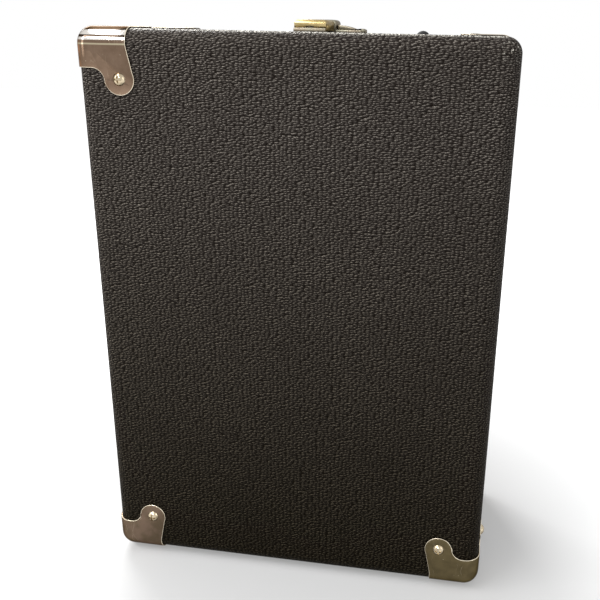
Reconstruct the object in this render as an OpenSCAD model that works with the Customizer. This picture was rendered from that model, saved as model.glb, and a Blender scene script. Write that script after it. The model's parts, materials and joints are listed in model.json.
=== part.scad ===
// Portable tube tester in a covered plywood case that stands on one end.
// X runs to the right, Y runs from the lid's face to the back, Z runs up.
// The origin is on the floor under the middle of the whole part, with its handle folded.

/* [Case] */
// Width of the case
case_w = 274; // [260:1:300]
// Height of the case, without its feet
case_h = 381; // [370:1:420]
// Depth of the closed case
case_d = 140; // [132:1:170]
// Depth of the lid's half
lid_d = 52; // [50:1:60]
// Radius of every outer edge
edge_r = 10; // [8:0.5:12]
// Thickness of the covered plywood
wall = 9; // [8:0.5:11]
// Height of the rubber feet
foot_h = 5; // [4:0.5:8]
// Diameter of the rubber feet
foot_d = 16; // [12:1:20]

/* [Corner guards] */
// Thickness of the guards' sheet
guard_t = 1.1; // [0.8:0.1:1.6]
// Reach of a guard along the horizontal edges
guard_long = 34.5; // [32:0.5:37]
// Reach of a guard along the vertical edges
guard_short = 24; // [20:0.5:26]
// Radius of the round end of an ear
ear_r = 9.8; // [8:0.1:10]
// Distance of an ear's screw from the vertical edge
ear_in = 29; // [28:0.5:31]
// Distance of an ear's screw from the end
ear_down = 30.5; // [29:0.5:33]
// Diameter of the guard screws' heads
screw_head_d = 8.1; // [6:0.1:9]
// Diameter of the guard screws' shanks
screw_d = 3.2; // [2.5:0.1:4]
// Length of the guard screws under the head
screw_len = 8; // [5:0.5:9]

/* [Catch] */
// Distance of the catch from the middle of the top
catch_x = 5; // [-20:1:20]
// Width of the hasp
hasp_w = 20.5; // [18:0.5:24]
// Length of the hasp over the seam
hasp_len = 31; // [29:0.5:36]
// Height of the hasp over the top
hasp_h = 7.3; // [7:0.1:9]
// Travel of the thumb slide
slide_travel = 3; // [2:0.5:4]
// Distance of the bumper from the middle of the top
bumper_x = 73; // [60:1:90]

/* [Hinges and handle] */
// Length of a hinge
hinge_len = 50; // [40:1:60]
// Distance from an end of the case to the middle of its hinge
hinge_inset = 70.5; // [66:0.5:95]
// Diameter of the hinge pins
hinge_pin_d = 2.5; // [2:0.1:3]
// Outer diameter of the hinge knuckles
knuckle_d = 6; // [5:0.1:7]
// Distance of the handle's pivots from the middle of the side
handle_half = 66; // [58:1:80]
// Diameter of the handle's steel rod
rod_d = 5; // [4:0.5:6]
// Diameter of the grip at its middle
grip_d = 15; // [13:0.5:16]
// Reach of the handle from its pivots
handle_reach = 30; // [26:1:36]

/* [Panel] */
// Thickness of the aluminium panel
panel_t = 1.6; // [1.2:0.1:2.5]
// Depth of the panel under the base's rim
panel_recess = 6; // [5:0.5:9]
// Height of the tongue round the base's rim
tongue_h = 5; // [3:0.5:7]
// Width of the battens that carry the panel
batten_w = 12; // [10:1:16]
// Width of the meter
meter_w = 104; // [90:1:110]
// Height of the meter
meter_h = 84; // [76:1:90]
// Height of the meter's front over the panel
meter_front = 14; // [12:0.5:16]
// Diameter of the knobs' skirts
knob_skirt_d = 36; // [30:1:40]
// Height of the knobs
knob_h = 17; // [14:0.5:20]
// Diameter of the knobs' shafts
shaft_d = 6.35; // [5:0.05:7]
// Diameter of the push buttons
button_d = 10.5; // [8:0.5:12]
// Travel of the push buttons
button_travel = 4; // [2:0.5:5]

/* [Hidden] */
$fn = 48;
eps = 0.01;
fit = 0.05;
gap = 0.3;
base_d = case_d - lid_d;
base_z = foot_h;
top_z = base_z + case_h;
mid_z = base_z + case_h / 2;
seam_y = -case_d / 2 + lid_d;
handle_gap = 1;
head_rise = 0.32;
handle_out = grip_d + handle_gap;
guard_out = guard_t + screw_head_d * head_rise;
mid_x = (handle_out - guard_out) / 2;
side_x = mid_x - case_w / 2;
right_x = mid_x + case_w / 2;
inner_w = case_w - 2 * wall;
inner_h = case_h - 2 * wall;
lining_t = 1.2;
tongue_t = 1;
tongue_gap = 0.6;

// Panel: its front face, its size, and what stands on it as [x, height over the middle].
panel_y = seam_y + panel_recess;
panel_back = panel_y + panel_t;
panel_w = inner_w - 2 * tongue_t;
panel_h = inner_h - 2 * tongue_t;
back_y = case_d / 2 - wall;
meter_at = [0, 116];
pilot_at = [-94, 146];
shorts_at = [94, 146];
toggle_at = [-94, 96];
fuse_at = [94, 96];
inlet_at = [-84, -150];
row_a = 36;
row_b = -10;
octal_at = [-94, row_a];
loctal_at = [-47, row_a];
compactron_at = [0, row_a];
novar_at = [47, row_a];
noval_at = [94, row_a];
miniature_at = [-94, row_b];
nuvistor_at = [-47, row_b];
jack_at = [0, row_b];
straightener_7_at = [47, row_b];
straightener_9_at = [94, row_b];
knob_row = -66;
filament_at = [-84, knob_row];
function_at = [-28, knob_row];
load_at = [28, knob_row];
bias_at = [84, knob_row];
button_row = -120;
button_pitch = 40;
buttons_at = [for (i = [-1:1]) [i * button_pitch, button_row]];
panel_screws_at = [for (s = [-1, 1], k = [-1.5:1.5]) [
  s * (inner_w - batten_w) / 2, k * (panel_h - batten_w) / 3
]];

// A tube socket: [body diameter, pin circle, pins, places left out, pin hole, key hole]
octal = [28, 17.45, 8, 0, 2.6, 8];
loctal = [28, 17.45, 8, 0, 1.8, 7];
compactron = [31, 19.05, 12, 1, 1.5, 3.6];
novar = [28, 17.45, 9, 1, 1.5, 3.6];
noval = [22, 11.9, 9, 1, 1.4, 3.6];
miniature = [19, 9.53, 7, 1, 1.4, 3.2];
nuvistor = [15, 6.4, 5, 1, 0.9, 2.4];
sockets = [
  [octal_at, octal], [loctal_at, loctal], [compactron_at, compactron], [novar_at, novar],
  [noval_at, noval], [miniature_at, miniature], [nuvistor_at, nuvistor]
];
socket_proud = 1.5;
socket_deep = 10;
socket_flange = 3;

// ---------------------------------------------------------------- shared shapes

// Places a child that points along +Z so that it stands out of the panel's front.
module on_panel(at) {
  translate([mid_x + at[0], panel_y, mid_z + at[1]])
    rotate([90, 0, 0])
      children();
}

// Places a child drawn at the corner [0, 0, 0], with its inward edges along +X, +Y and +Z.
module at_corner(right, back, top) {
  translate([right ? right_x : side_x, (back ? 1 : -1) * case_d / 2, top ? top_z : base_z])
    mirror([right ? 1 : 0, 0, 0])
      mirror([0, back ? 1 : 0, 0])
        mirror([0, 0, top ? 1 : 0])
          children();
}

// Turns X to Y, Y to Z and Z to X.
module cycle_axes() {
  rotate([90, 0, 90]) children();
}

module rounded_rect(w, h, r) {
  union() {
    square([w - 2 * r, h], center = true);
    square([w, h - 2 * r], center = true);
    for (x = [-1, 1], y = [-1, 1])
      translate([x * (w / 2 - r), y * (h / 2 - r)]) circle(r);
  }
}

// A quarter of a round bar or tube about Z, in the quadrant of +X and +Y.
module quarter_bar(r, len, r_in = 0) {
  rotate_extrude(angle = 90) translate([r_in, 0]) square([r - r_in, len]);
}

// An eighth of a ball or of a hollow ball.
module ball_octant(r, r_in = 0) {
  rotate_extrude(angle = 90)
    intersection() {
      difference() {
        circle(r);
        if (r_in > 0) circle(r_in);
      }
      square(r);
    }
}

// Half of the case, open at z = 0, with its rounded face at z = d.
module case_half(d) {
  w = case_w;
  h = case_h;
  r = edge_r;
  linear_extrude(d - r) rounded_rect(w, h, r);
  translate([r - w / 2, r - h / 2, d - r]) cube([w - 2 * r, h - 2 * r, r]);
  for (s = [0, 180]) {
    rotate([0, 0, s])
      translate([w / 2 - r, h / 2 - r, d - r])
        rotate([90, 0, 0]) quarter_bar(r, h - 2 * r);
    rotate([0, 0, s])
      translate([r - w / 2, h / 2 - r, d - r])
        rotate([90, 0, 90]) quarter_bar(r, w - 2 * r);
  }
  for (x = [0, 1], y = [0, 1])
    mirror([x, 0, 0]) mirror([0, y, 0])
      translate([w / 2 - r, h / 2 - r, d - r]) ball_octant(r);
}

// Round pan head with a cross recess, its seat at z = 0, and its shank below.
module pan_screw(head_d, d, len) {
  head_h = head_d * head_rise;
  cap_r = (head_d * head_d / 4 + head_h * head_h) / (2 * head_h);
  slot_w = head_d * 0.15;
  slot_l = head_d * 0.58;
  difference() {
    union() {
      intersection() {
        cylinder(d = head_d, h = head_h);
        translate([0, 0, head_h - cap_r]) sphere(cap_r);
      }
      translate([0, 0, -len]) cylinder(d = d, h = len + eps);
    }
    for (a = [0, 90])
      rotate([0, 0, a])
        translate([-slot_l / 2, -slot_w / 2, head_h * 0.45]) cube([slot_l, slot_w, head_h]);
  }
}

// ---------------------------------------------------------------- corner guards

// Ear on a front, back or side face: a round lobe on a tapering neck.
module face_ear() {
  fillet = 8;
  lobe_left = ear_in - ear_r;
  union() {
    translate([ear_in, ear_down]) circle(ear_r);
    polygon([
      [edge_r, edge_r], [guard_long, edge_r], [ear_in + ear_r, ear_down],
      [lobe_left, ear_down], [lobe_left, guard_short], [edge_r, guard_short]
    ]);
    difference() {
      translate([lobe_left - fillet, guard_short - eps]) square([fillet + eps, fillet]);
      translate([lobe_left - fillet, guard_short + fillet]) circle(fillet);
    }
  }
}

// Ear on the end face: a lobe on the diagonal, with both sides as long as the edges' bars.
module end_ear() {
  c = ear_in;
  union() {
    translate([c, c]) circle(ear_r);
    polygon([
      [edge_r, edge_r], [guard_long, edge_r], [c + ear_r, c], [c, c + ear_r],
      [edge_r, guard_long]
    ]);
  }
}

// The three screw places of a guard, with +Z pointing out of the case.
module at_ear_screws() {
  translate([ear_in, -guard_t, ear_down]) rotate([90, 0, 0]) children();
  translate([-guard_t, ear_in, ear_down]) rotate([0, -90, 0]) children();
  translate([ear_in, ear_in, -guard_t]) rotate([180, 0, 0]) children();
}

module corner_guard() {
  r = edge_r;
  t = guard_t;
  difference() {
    union() {
      rotate([90, 0, 0]) linear_extrude(t) face_ear();
      mirror([1, -1, 0]) rotate([90, 0, 0]) linear_extrude(t) face_ear();
      translate([0, 0, -t]) linear_extrude(t) end_ear();
      translate([r, r, r]) rotate([0, 0, 180]) quarter_bar(r + t, guard_short - r, r);
      translate([r, r, r])
        cycle_axes() rotate([0, 0, 180]) quarter_bar(r + t, guard_long - r, r);
      translate([r, r, r])
        cycle_axes() cycle_axes() rotate([0, 0, 180]) quarter_bar(r + t, guard_long - r, r);
      translate([r, r, r]) mirror([0, 0, 1]) rotate([0, 0, 180]) ball_octant(r + t, r);
    }
    at_ear_screws()
      translate([0, 0, -t - eps]) cylinder(d = screw_d + 2 * fit, h = t + 2 * eps);
  }
}

// The pilot holes of one guard's screws in the plywood.
module guard_pilots() {
  at_ear_screws()
    translate([0, 0, -screw_len - gap]) cylinder(d = screw_d + 2 * fit, h = screw_len + 1);
}

// The lid has lost the guard at its top right corner.
module at_lid_corners() {
  at_corner(false, false, true) children();
  at_corner(false, false, false) children();
  at_corner(true, false, false) children();
}

module at_base_corners() {
  for (right = [false, true], top = [false, true])
    at_corner(right, true, top) children();
}

module lid_corner_guards() {
  color("#8d7c66") at_lid_corners() corner_guard();
}

module lid_guard_screws() {
  color("silver") at_lid_corners() at_ear_screws() pan_screw(screw_head_d, screw_d, screw_len);
}

module base_corner_guards() {
  color("#8d7c66") at_base_corners() corner_guard();
}

module base_guard_screws() {
  color("silver") at_base_corners() at_ear_screws() pan_screw(screw_head_d, screw_d, screw_len);
}

// ---------------------------------------------------------------- case

module lid_shell() {
  color("#2b2826")
    difference() {
      translate([mid_x, seam_y, mid_z]) rotate([90, 0, 0])
        difference() {
          case_half(lid_d);
          translate([-inner_w / 2, -inner_h / 2, -eps])
            cube([inner_w, inner_h, lid_d - wall + eps]);
          // Rebate that takes the tongue of the base
          translate([-inner_w / 2 - tongue_gap, -inner_h / 2 - tongue_gap, -eps])
            cube([inner_w + 2 * tongue_gap, inner_h + 2 * tongue_gap, tongue_h + 1]);
        }
      at_lid_corners() guard_pilots();
      at_hinges() hinge_pilots(-1);
    }
}

module base_shell() {
  color("#2b2826")
    difference() {
      translate([mid_x, seam_y + gap, mid_z]) rotate([-90, 0, 0])
        difference() {
          case_half(base_d - gap);
          translate([-inner_w / 2, -inner_h / 2, -eps])
            cube([inner_w, inner_h, base_d - gap - wall + eps]);
        }
      at_base_corners() guard_pilots();
      at_hinges() hinge_pilots(1);
      at_handle_brackets() bracket_pilots();
    }
}

// Cloth-covered board on the inside of the lid's face.
module lid_lining() {
  color("#5b5f63")
    translate([mid_x - inner_w / 2 + gap, seam_y - lid_d + wall, base_z + wall + gap])
      cube([inner_w - 2 * gap, lining_t, inner_h - 2 * gap]);
}

// Flat pocket for the settings chart, open at its upper edge.
pocket_w = 196;
pocket_h = 150;
pocket_gap = 6;
pocket_t = 1.6;
pocket_rim = 5;
module chart_pocket() {
  y = seam_y - lid_d + wall + lining_t;
  color("#3c3a38")
    translate([mid_x, y, mid_z])
      difference() {
        translate([-pocket_w / 2, 0, -pocket_h / 2])
          cube([pocket_w, pocket_gap + pocket_t, pocket_h]);
        translate([pocket_rim - pocket_w / 2, -eps, pocket_rim - pocket_h / 2])
          cube([pocket_w - 2 * pocket_rim, pocket_gap + eps, pocket_h]);
        // Thumb cut-out in the front sheet
        translate([0, 0, pocket_h / 2]) rotate([-90, 0, 0]) cylinder(r = 22, h = 20);
      }
}

// Aluminium tongue round the mouth of the base, over which the lid closes.
module base_valance() {
  deep = panel_recess - 0.5;
  color("#a9a9a6")
    translate([mid_x, seam_y - tongue_h, mid_z])
      rotate([-90, 0, 0])
        linear_extrude(tongue_h + deep)
          difference() {
            square([inner_w, inner_h], center = true);
            square([inner_w - 2 * tongue_t, inner_h - 2 * tongue_t], center = true);
          }
}

// Rubber foot, its seat at z = 0, with a recess for its screw.
module rubber_foot() {
  difference() {
    rotate_extrude()
      polygon([
        [0, 0], [foot_d / 2, 0], [foot_d / 2 - 0.4, foot_h - 1.2],
        [foot_d / 2 - 1.6, foot_h], [0, foot_h]
      ]);
    translate([0, 0, 2]) cylinder(d = foot_d * 0.45, h = foot_h);
  }
}

// Feet stand clear of the guards' ears.
foot_x = case_w / 2 - ear_in - ear_r - foot_d / 2 - 3;
foot_edge = 22;
module end_feet() {
  color("#1c1b1a")
    for (x = [-1, 1]) {
      translate([mid_x + x * (foot_x + foot_edge), seam_y + foot_d, base_z])
        rotate([180, 0, 0]) rubber_foot();
      translate([mid_x + x * foot_x, case_d / 2 - foot_edge, base_z])
        rotate([180, 0, 0]) rubber_foot();
    }
}

module back_feet() {
  color("#1c1b1a")
    for (x = [-1, 1], z = [base_z + foot_edge + 4, top_z - foot_edge - 4])
      translate([mid_x + x * foot_x, case_d / 2, z]) rotate([-90, 0, 0]) rubber_foot();
}

// Small domed rubber stud on the top end.
module top_bumper() {
  d = 8.5;
  h = 2.3;
  cap_r = (d * d / 4 + h * h) / (2 * h);
  color("#181716")
    translate([mid_x + bumper_x, case_d / 2 - 50, top_z])
      intersection() {
        cylinder(d = d, h = h);
        translate([0, 0, h - cap_r]) sphere(cap_r);
      }
}

// ---------------------------------------------------------------- hinges on the left side

hinge_x = side_x - knuckle_d / 2 - gap;
hinge_off = case_h / 2 - hinge_inset;
leaf_t = 1.4;
leaf_w = 22;
knuckles = 5;
knuckle_len = hinge_len / knuckles;

module at_hinges() {
  for (s = [-1, 1])
    translate([hinge_x, seam_y, mid_z + s * hinge_off - hinge_len / 2]) children();
}

// The three screw places of a leaf, on the side d = -1 or 1 of the seam.
module at_leaf_screws(d) {
  for (k = [0.16, 0.5, 0.84])
    translate([side_x - hinge_x, d * (k == 0.5 ? 16 : 11), hinge_len * k])
      rotate([0, -90, 0])
        children();
}

module hinge_pilots(d) {
  at_leaf_screws(d) translate([0, 0, -6]) cylinder(d = 2.6, h = 6.5);
}

// One leaf: even or odd knuckles about the pin, on a plate that lies on the case.
module hinge_leaf(d, first) {
  x = side_x - hinge_x;
  plate_y = knuckle_d / 2 + gap;
  difference() {
    union() {
      translate([x - leaf_t, d > 0 ? plate_y : -leaf_w, 0])
        cube([leaf_t, leaf_w - plate_y, hinge_len]);
      for (i = [first:2:knuckles - 1])
        translate([0, 0, i * knuckle_len + gap / 2]) {
          cylinder(d = knuckle_d, h = knuckle_len - gap);
          translate([x - leaf_t, d > 0 ? 0 : -plate_y - eps, 0])
            cube([leaf_t, plate_y + eps, knuckle_len - gap]);
        }
    }
    translate([0, 0, -eps]) cylinder(d = hinge_pin_d + 4 * fit, h = hinge_len + 2 * eps);
    at_leaf_screws(d) {
      translate([0, 0, -eps]) cylinder(d = 3.2, h = leaf_t + 2 * eps);
      translate([0, 0, 0.2]) cylinder(d1 = 3.2, d2 = 5.8, h = leaf_t - 0.2 + eps);
    }
  }
}

module hinge_base_leaves() {
  color("#9a958c") at_hinges() hinge_leaf(1, 0);
}

module hinge_lid_leaves() {
  color("#9a958c") at_hinges() hinge_leaf(-1, 1);
}

module hinge_pins() {
  color("#77746e") at_hinges() {
    translate([0, 0, -0.6]) cylinder(d = hinge_pin_d, h = hinge_len + 1.2);
    for (z = [-1.2, hinge_len])
      translate([0, 0, z]) cylinder(d = hinge_pin_d + 1.4, h = 1.2);
  }
}

// ---------------------------------------------------------------- catch on the top end

catch_mid = mid_x + catch_x;
hasp_y = seam_y - 15;
hasp_roll = 2.6;
catch_plate_t = 0.7;
catch_axis_y = hasp_y + hasp_roll;
catch_axis_z = top_z + catch_plate_t + gap + hasp_roll;
catch_pin_d = 1.8;
catch_eye_r = 1.7;
hasp_t = 1.2;
hasp_skin = hasp_roll - catch_eye_r - gap;
hasp_slot = 5.6;
hasp_corner = 2.4;
plate_t = 1;

// The solid that has a rounded outline from the front and from the side.
module rounded_block(w, l, h, r) {
  intersection() {
    translate([0, l, 0]) rotate([90, 0, 0])
      linear_extrude(l) top_rounded(w, h, r);
    translate([-w / 2, l / 2, 0]) cycle_axes()
      linear_extrude(w) top_rounded(l, h, r);
  }
}

// Rectangle that stands on y = 0, with its two upper corners round.
module top_rounded(w, h, r) {
  union() {
    translate([-w / 2, 0]) square([w, h - r]);
    translate([r - w / 2, 0]) square([w - 2 * r, h]);
    for (x = [-1, 1]) translate([x * (w / 2 - r), h - r]) circle(r);
  }
}

// Hollow pressed hasp with a rolled front edge. It turns on a pin in the lid's plate and
// covers the lock's nose.
module catch_hasp() {
  low = 0.6;
  front = 5.6;
  axis_h = catch_axis_z - top_z;
  color("#b09a72")
    translate([catch_mid, 0, top_z])
      difference() {
        union() {
          difference() {
            translate([0, hasp_y, low]) rounded_block(hasp_w, hasp_len, hasp_h - low, hasp_corner);
            translate([hasp_t - hasp_w / 2, hasp_y + front, low - eps])
              cube([hasp_w - 2 * hasp_t, hasp_len - front - hasp_t, hasp_h - low - hasp_t]);
            // Over the plate the front stays clear of it
            translate([hasp_t - hasp_w / 2, catch_axis_y - 1, low - eps])
              cube([hasp_w - 2 * hasp_t, front - hasp_roll + 1 + eps, catch_plate_t + 2 * gap - low]);
            // The free end stops over the lock's nose
            translate([-hasp_w / 2 - 1, hasp_y + hasp_len - hasp_t - 1, low - eps])
              cube([hasp_w + 2, hasp_t + 2, nose_h + gap - low]);
            // Under the axis the front is a roll, which turns past the lid's top
            translate([-hasp_w / 2 - 1, hasp_y - 1, 0]) cube([hasp_w + 2, hasp_roll + 1, axis_h]);
          }
          translate([-hasp_w / 2, catch_axis_y, axis_h])
            rotate([0, 90, 0]) cylinder(r = hasp_roll, h = hasp_w);
          // Lip that the bolt holds down, inside the free end
          translate([-3.5, hasp_y + hasp_len - hasp_t - 2.2, nose_h + gap + 0.2])
            cube([7, 2.4, hasp_h - hasp_t - nose_h - 0.4]);
        }
        // Slot for the plate's eye behind the front skin, open at its foot, and the pin's bore
        translate([-hasp_slot / 2, hasp_y + hasp_skin, low - eps])
          cube([hasp_slot, front + 2, hasp_h - low - hasp_t]);
        translate([-hasp_slot / 2, hasp_y - 1, 0]) cube([hasp_slot, hasp_roll + 1, axis_h + eps]);
        translate([-hasp_w, catch_axis_y, axis_h])
          rotate([0, 90, 0]) cylinder(d = catch_pin_d + 2 * fit, h = 2 * hasp_w);
      }
}

module catch_pin() {
  color("#8c8474")
    translate([catch_mid - hasp_w / 2 + 0.4, catch_axis_y, catch_axis_z])
      rotate([0, 90, 0]) cylinder(d = catch_pin_d, h = hasp_w - 0.8);
}

// Plate on the lid that carries the hasp on one eye, with a low lip before the hasp.
module catch_hinge_plate() {
  eye_w = hasp_slot - 2 * gap;
  back = seam_y - 1;
  lip_t = 0.7;
  lip_y = hasp_y - 2.3;
  inside_w = hasp_w - 2 * hasp_t - 2;
  axis_h = catch_axis_z - top_z;
  color("#a08c68")
    translate([catch_mid, 0, top_z])
      difference() {
        union() {
          translate([-hasp_w / 2, lip_y, 0]) cube([hasp_w, catch_axis_y - lip_y, catch_plate_t]);
          translate([-hasp_w / 2, lip_y, 0]) cube([hasp_w, lip_t, 1.7]);
          translate([-hasp_w / 2, lip_y + lip_t, 1.7])
            rotate([0, 90, 0]) rotate([0, 0, 180]) linear_extrude(hasp_w) difference() {
              circle(lip_t);
              translate([-2, 0]) square([4, 2]);
            }
          translate([-inside_w / 2, lip_y, 0]) cube([inside_w, back - lip_y, catch_plate_t]);
          translate([-eye_w / 2, catch_axis_y, axis_h])
            rotate([0, 90, 0]) cylinder(r = catch_eye_r, h = eye_w);
          translate([-eye_w / 2, catch_axis_y + gap, 0]) cube([eye_w, catch_eye_r, axis_h]);
        }
        translate([-hasp_w, catch_axis_y, axis_h])
          rotate([0, 90, 0]) cylinder(d = catch_pin_d + 2 * fit, h = 2 * hasp_w);
      }
}

// Lock on the base: a flange, a head behind the hasp, a nose under it, and the rim round the
// thumb slide with its raised end.
lock_w = 19;
lock_right = 30.5;
lock_left = -17;
lock_y = seam_y + 27.5;
nose_h = 4.2;
nose_w = 9;
head_h = hasp_h + 0.7;
head_right = hasp_w / 2 + 0.4;
head_y = hasp_y + hasp_len + 0.6;
head_l = lock_y + lock_w / 2 - head_y - 0.8;
slide_x = head_right + gap;
slide_len = 13.5;
slide_w = 12;
slide_h = 4.7;
slide_r = 35;
rim = 1.4;
rim_h = 1.6;
rim_x = head_right - 3;
rim_end_h = 2.9;
pocket_end = slide_x + slide_len + slide_travel + gap;
pocket_floor = plate_t + gap;
bolt_w = 3;
bolt_h = 1.6;
bolt_left = 5;

// Outline of the rim, with round right corners.
module rim_outline() {
  len = lock_right - 0.7 - rim_x;
  translate([rim_x + len / 2, 0]) rounded_rect(len, slide_w + 2 * gap + 2 * rim, 2.5);
}

// Length of a round bar along Y, whose top is at the height h.
module round_top(x, h, r) {
  translate([x, 0, h - r])
    rotate([90, 0, 0]) cylinder(r = r, h = 2 * lock_w, center = true, $fn = 240);
}

module catch_plate() {
  head_mid = (head_right - hasp_w / 2) / 2;
  color("#a8946e")
    translate([catch_mid, lock_y, top_z])
      difference() {
        union() {
          translate([(lock_left + lock_right) / 2, 0, 0]) linear_extrude(plate_t)
            rounded_rect(lock_right - lock_left, lock_w, lock_w / 2 - eps);
          translate([head_mid, head_y - lock_y, 0])
            rounded_block(head_right + hasp_w / 2, head_l, head_h, hasp_corner);
          linear_extrude(rim_h) rim_outline();
          intersection() {
            linear_extrude(rim_end_h) rim_outline();
            round_top(pocket_end - rim, rim_end_h, 6);
            translate([pocket_end - 2 * eps, -lock_w / 2, 0]) cube([8, lock_w, rim_end_h]);
          }
          // Nose that the hasp comes down over
          translate([-nose_w / 2, head_y - lock_y - 7, 0]) cube([nose_w, 8, nose_h]);
        }
        // Pocket of the thumb slide, and the channel of its bolt
        translate([head_right, -slide_w / 2 - gap, plate_t])
          cube([pocket_end - head_right, slide_w + 2 * gap, head_h]);
        translate([bolt_left - gap, -bolt_w / 2 - gap, plate_t])
          cube([slide_x - bolt_left, bolt_w + 2 * gap, bolt_h + 2 * gap]);
      }
}

// Domed thumb slide, and the bolt that it carries under the head.
module catch_slide() {
  color("#bfae88")
    translate([catch_mid, lock_y, top_z + pocket_floor]) {
      intersection() {
        translate([slide_x + slide_len / 2, 0, 0])
          linear_extrude(slide_h) rounded_rect(slide_len, slide_w, 1.5);
        translate([0, 0, -pocket_floor]) round_top(head_right, slide_h, slide_r);
      }
      translate([bolt_left, -bolt_w / 2, 0]) cube([slide_x - bolt_left + eps, bolt_w, bolt_h]);
    }
}

// ---------------------------------------------------------------- handle on the left side

handle_x = side_x - grip_d / 2 - handle_gap;
handle_y = 16;
bend_r = 8;
bracket_l = 14;
rod_straight = 2 * (handle_half - bracket_l / 2 - gap - 2 * bend_r);
grip_len = rod_straight - 1;

module at_handle_brackets() {
  for (s = [0, 1])
    translate([handle_x, handle_y, mid_z]) mirror([0, 0, s])
      translate([0, 0, handle_half]) children();
}

module bracket_pilots() {
  for (y = [-13, 13])
    translate([side_x - handle_x - eps, y, 0]) rotate([0, 90, 0]) cylinder(d = 3, h = 6);
}

// Post with a vertical bore, on a flange with two screw holes.
module handle_bracket() {
  x = side_x - handle_x;
  flange = 38;
  difference() {
    union() {
      cylinder(d = rod_d + 6, h = bracket_l, center = true);
      translate([0, -(rod_d + 6) / 2, -bracket_l / 2]) cube([x, rod_d + 6, bracket_l]);
      translate([x - 1.6, 0, 0]) rotate([0, 90, 0])
        linear_extrude(1.6) rounded_rect(bracket_l, flange, 4);
    }
    cylinder(d = rod_d + 4 * fit, h = bracket_l + 2, center = true);
    for (y = [-13, 13])
      translate([x - 3, y, 0]) rotate([0, 90, 0]) cylinder(d = 3.2, h = 4);
  }
}

module handle_brackets() {
  color("#8f8a80") at_handle_brackets() handle_bracket();
}

// Bent steel rod: its ends turn in the brackets, and its middle runs through the grip.
module handle_bail() {
  arm_z = handle_half - bracket_l / 2 - gap - bend_r;
  arm = handle_reach - 2 * bend_r;
  stub = bracket_l + 1.5 + gap;
  color("#8f8a80")
    translate([handle_x, handle_y, mid_z]) {
      for (s = [0, 1])
        mirror([0, 0, s]) {
          translate([0, 0, arm_z + bend_r]) cylinder(d = rod_d, h = stub);
          translate([0, bend_r, arm_z + bend_r])
            rotate([0, 90, 0]) rotate([0, 0, -90]) bend();
          translate([0, bend_r, arm_z]) rotate([-90, 0, 0]) cylinder(d = rod_d, h = arm);
          translate([0, bend_r + arm, arm_z - bend_r])
            rotate([0, 90, 0]) rotate([0, 0, 90]) bend();
        }
      translate([0, handle_reach, bend_r - arm_z])
        cylinder(d = rod_d, h = 2 * (arm_z - bend_r));
    }
}

// A quarter turn of the rod about Z, from the angle 0 to 90.
module bend() {
  rotate_extrude(angle = 90) translate([bend_r, 0]) circle(d = rod_d);
}

// Moulded grip, fuller at its middle, with two rolled ends.
module handle_grip() {
  r = grip_d / 2;
  h = grip_len / 2;
  belly = 400;
  color("#24211f")
    translate([handle_x, handle_y + handle_reach, mid_z])
      rotate_extrude()
        difference() {
          union() {
            intersection() {
              translate([r - belly, 0]) circle(belly, $fn = 360);
              translate([0, -h]) square([r, 2 * h]);
            }
            for (z = [-1, 1]) translate([0, z * (h - 2) - 2]) square([r - 1, 4]);
          }
          translate([-1, -h - 1]) square([1 + rod_d / 2 + fit, 2 * h + 2]);
        }
}

// ---------------------------------------------------------------- panel

// Wooden battens glued to the sides of the base, with pilot holes for the panel's screws.
module panel_battens() {
  color("#a8875c")
    difference() {
      for (x = [mid_x - inner_w / 2, mid_x + inner_w / 2 - batten_w])
          translate([x, panel_back, base_z + wall])
            cube([batten_w, 14, inner_h]);
      for (p = panel_screws_at)
        on_panel(p) translate([0, 0, -panel_t - 10]) cylinder(d = 2.6 + 2 * fit, h = 11);
    }
}

module panel() {
  color("#b9bab6")
    difference() {
      translate([mid_x - panel_w / 2, panel_y, mid_z - panel_h / 2])
        cube([panel_w, panel_t, panel_h]);
      for (s = sockets) panel_hole(s[0], s[1][0] + 2 * gap);
      for (p = panel_screws_at) panel_hole(p, 3.2);
      panel_hole(meter_at, meter_barrel_d + 2 * gap);
      for (p = [filament_at, function_at, load_at, bias_at]) panel_hole(p, bush_d + 2 * fit);
      for (p = buttons_at) panel_hole(p, collar_thread_d + 2 * fit);
      for (p = [pilot_at, shorts_at]) panel_hole(p, lamp_d + 2 * fit);
      panel_hole(straightener_7_at, 10);
      panel_hole(straightener_9_at, 12);
      panel_hole(jack_at, 8 + 2 * fit);
      panel_hole(toggle_at, toggle_bush_d + 2 * fit);
      panel_hole(fuse_at, fuse_d + 2 * fit);
      on_panel(inlet_at)
        translate([-inlet_w / 2 - fit, -inlet_h / 2 - fit, -5])
          cube([inlet_w + 2 * fit, inlet_h + 2 * fit, 10]);
    }
}

module panel_hole(at, d) {
  on_panel(at) translate([0, 0, -panel_t - 1]) cylinder(d = d, h = panel_t + 2);
}

module panel_screws() {
  color("silver")
    for (p = panel_screws_at) on_panel(p) pan_screw(6, 2.6, 10);
}

// ---------------------------------------------------------------- meter

meter_barrel_d = 68;
meter_barrel = 30;
meter_skin = 2.2;
dial_w = 90;
dial_h = 54;
dial_up = 8;
dial_depth = 9;
dial_t = 1;
pivot_up = -14;
pointer_len = 38;
pointer_rest = 45;

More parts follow.
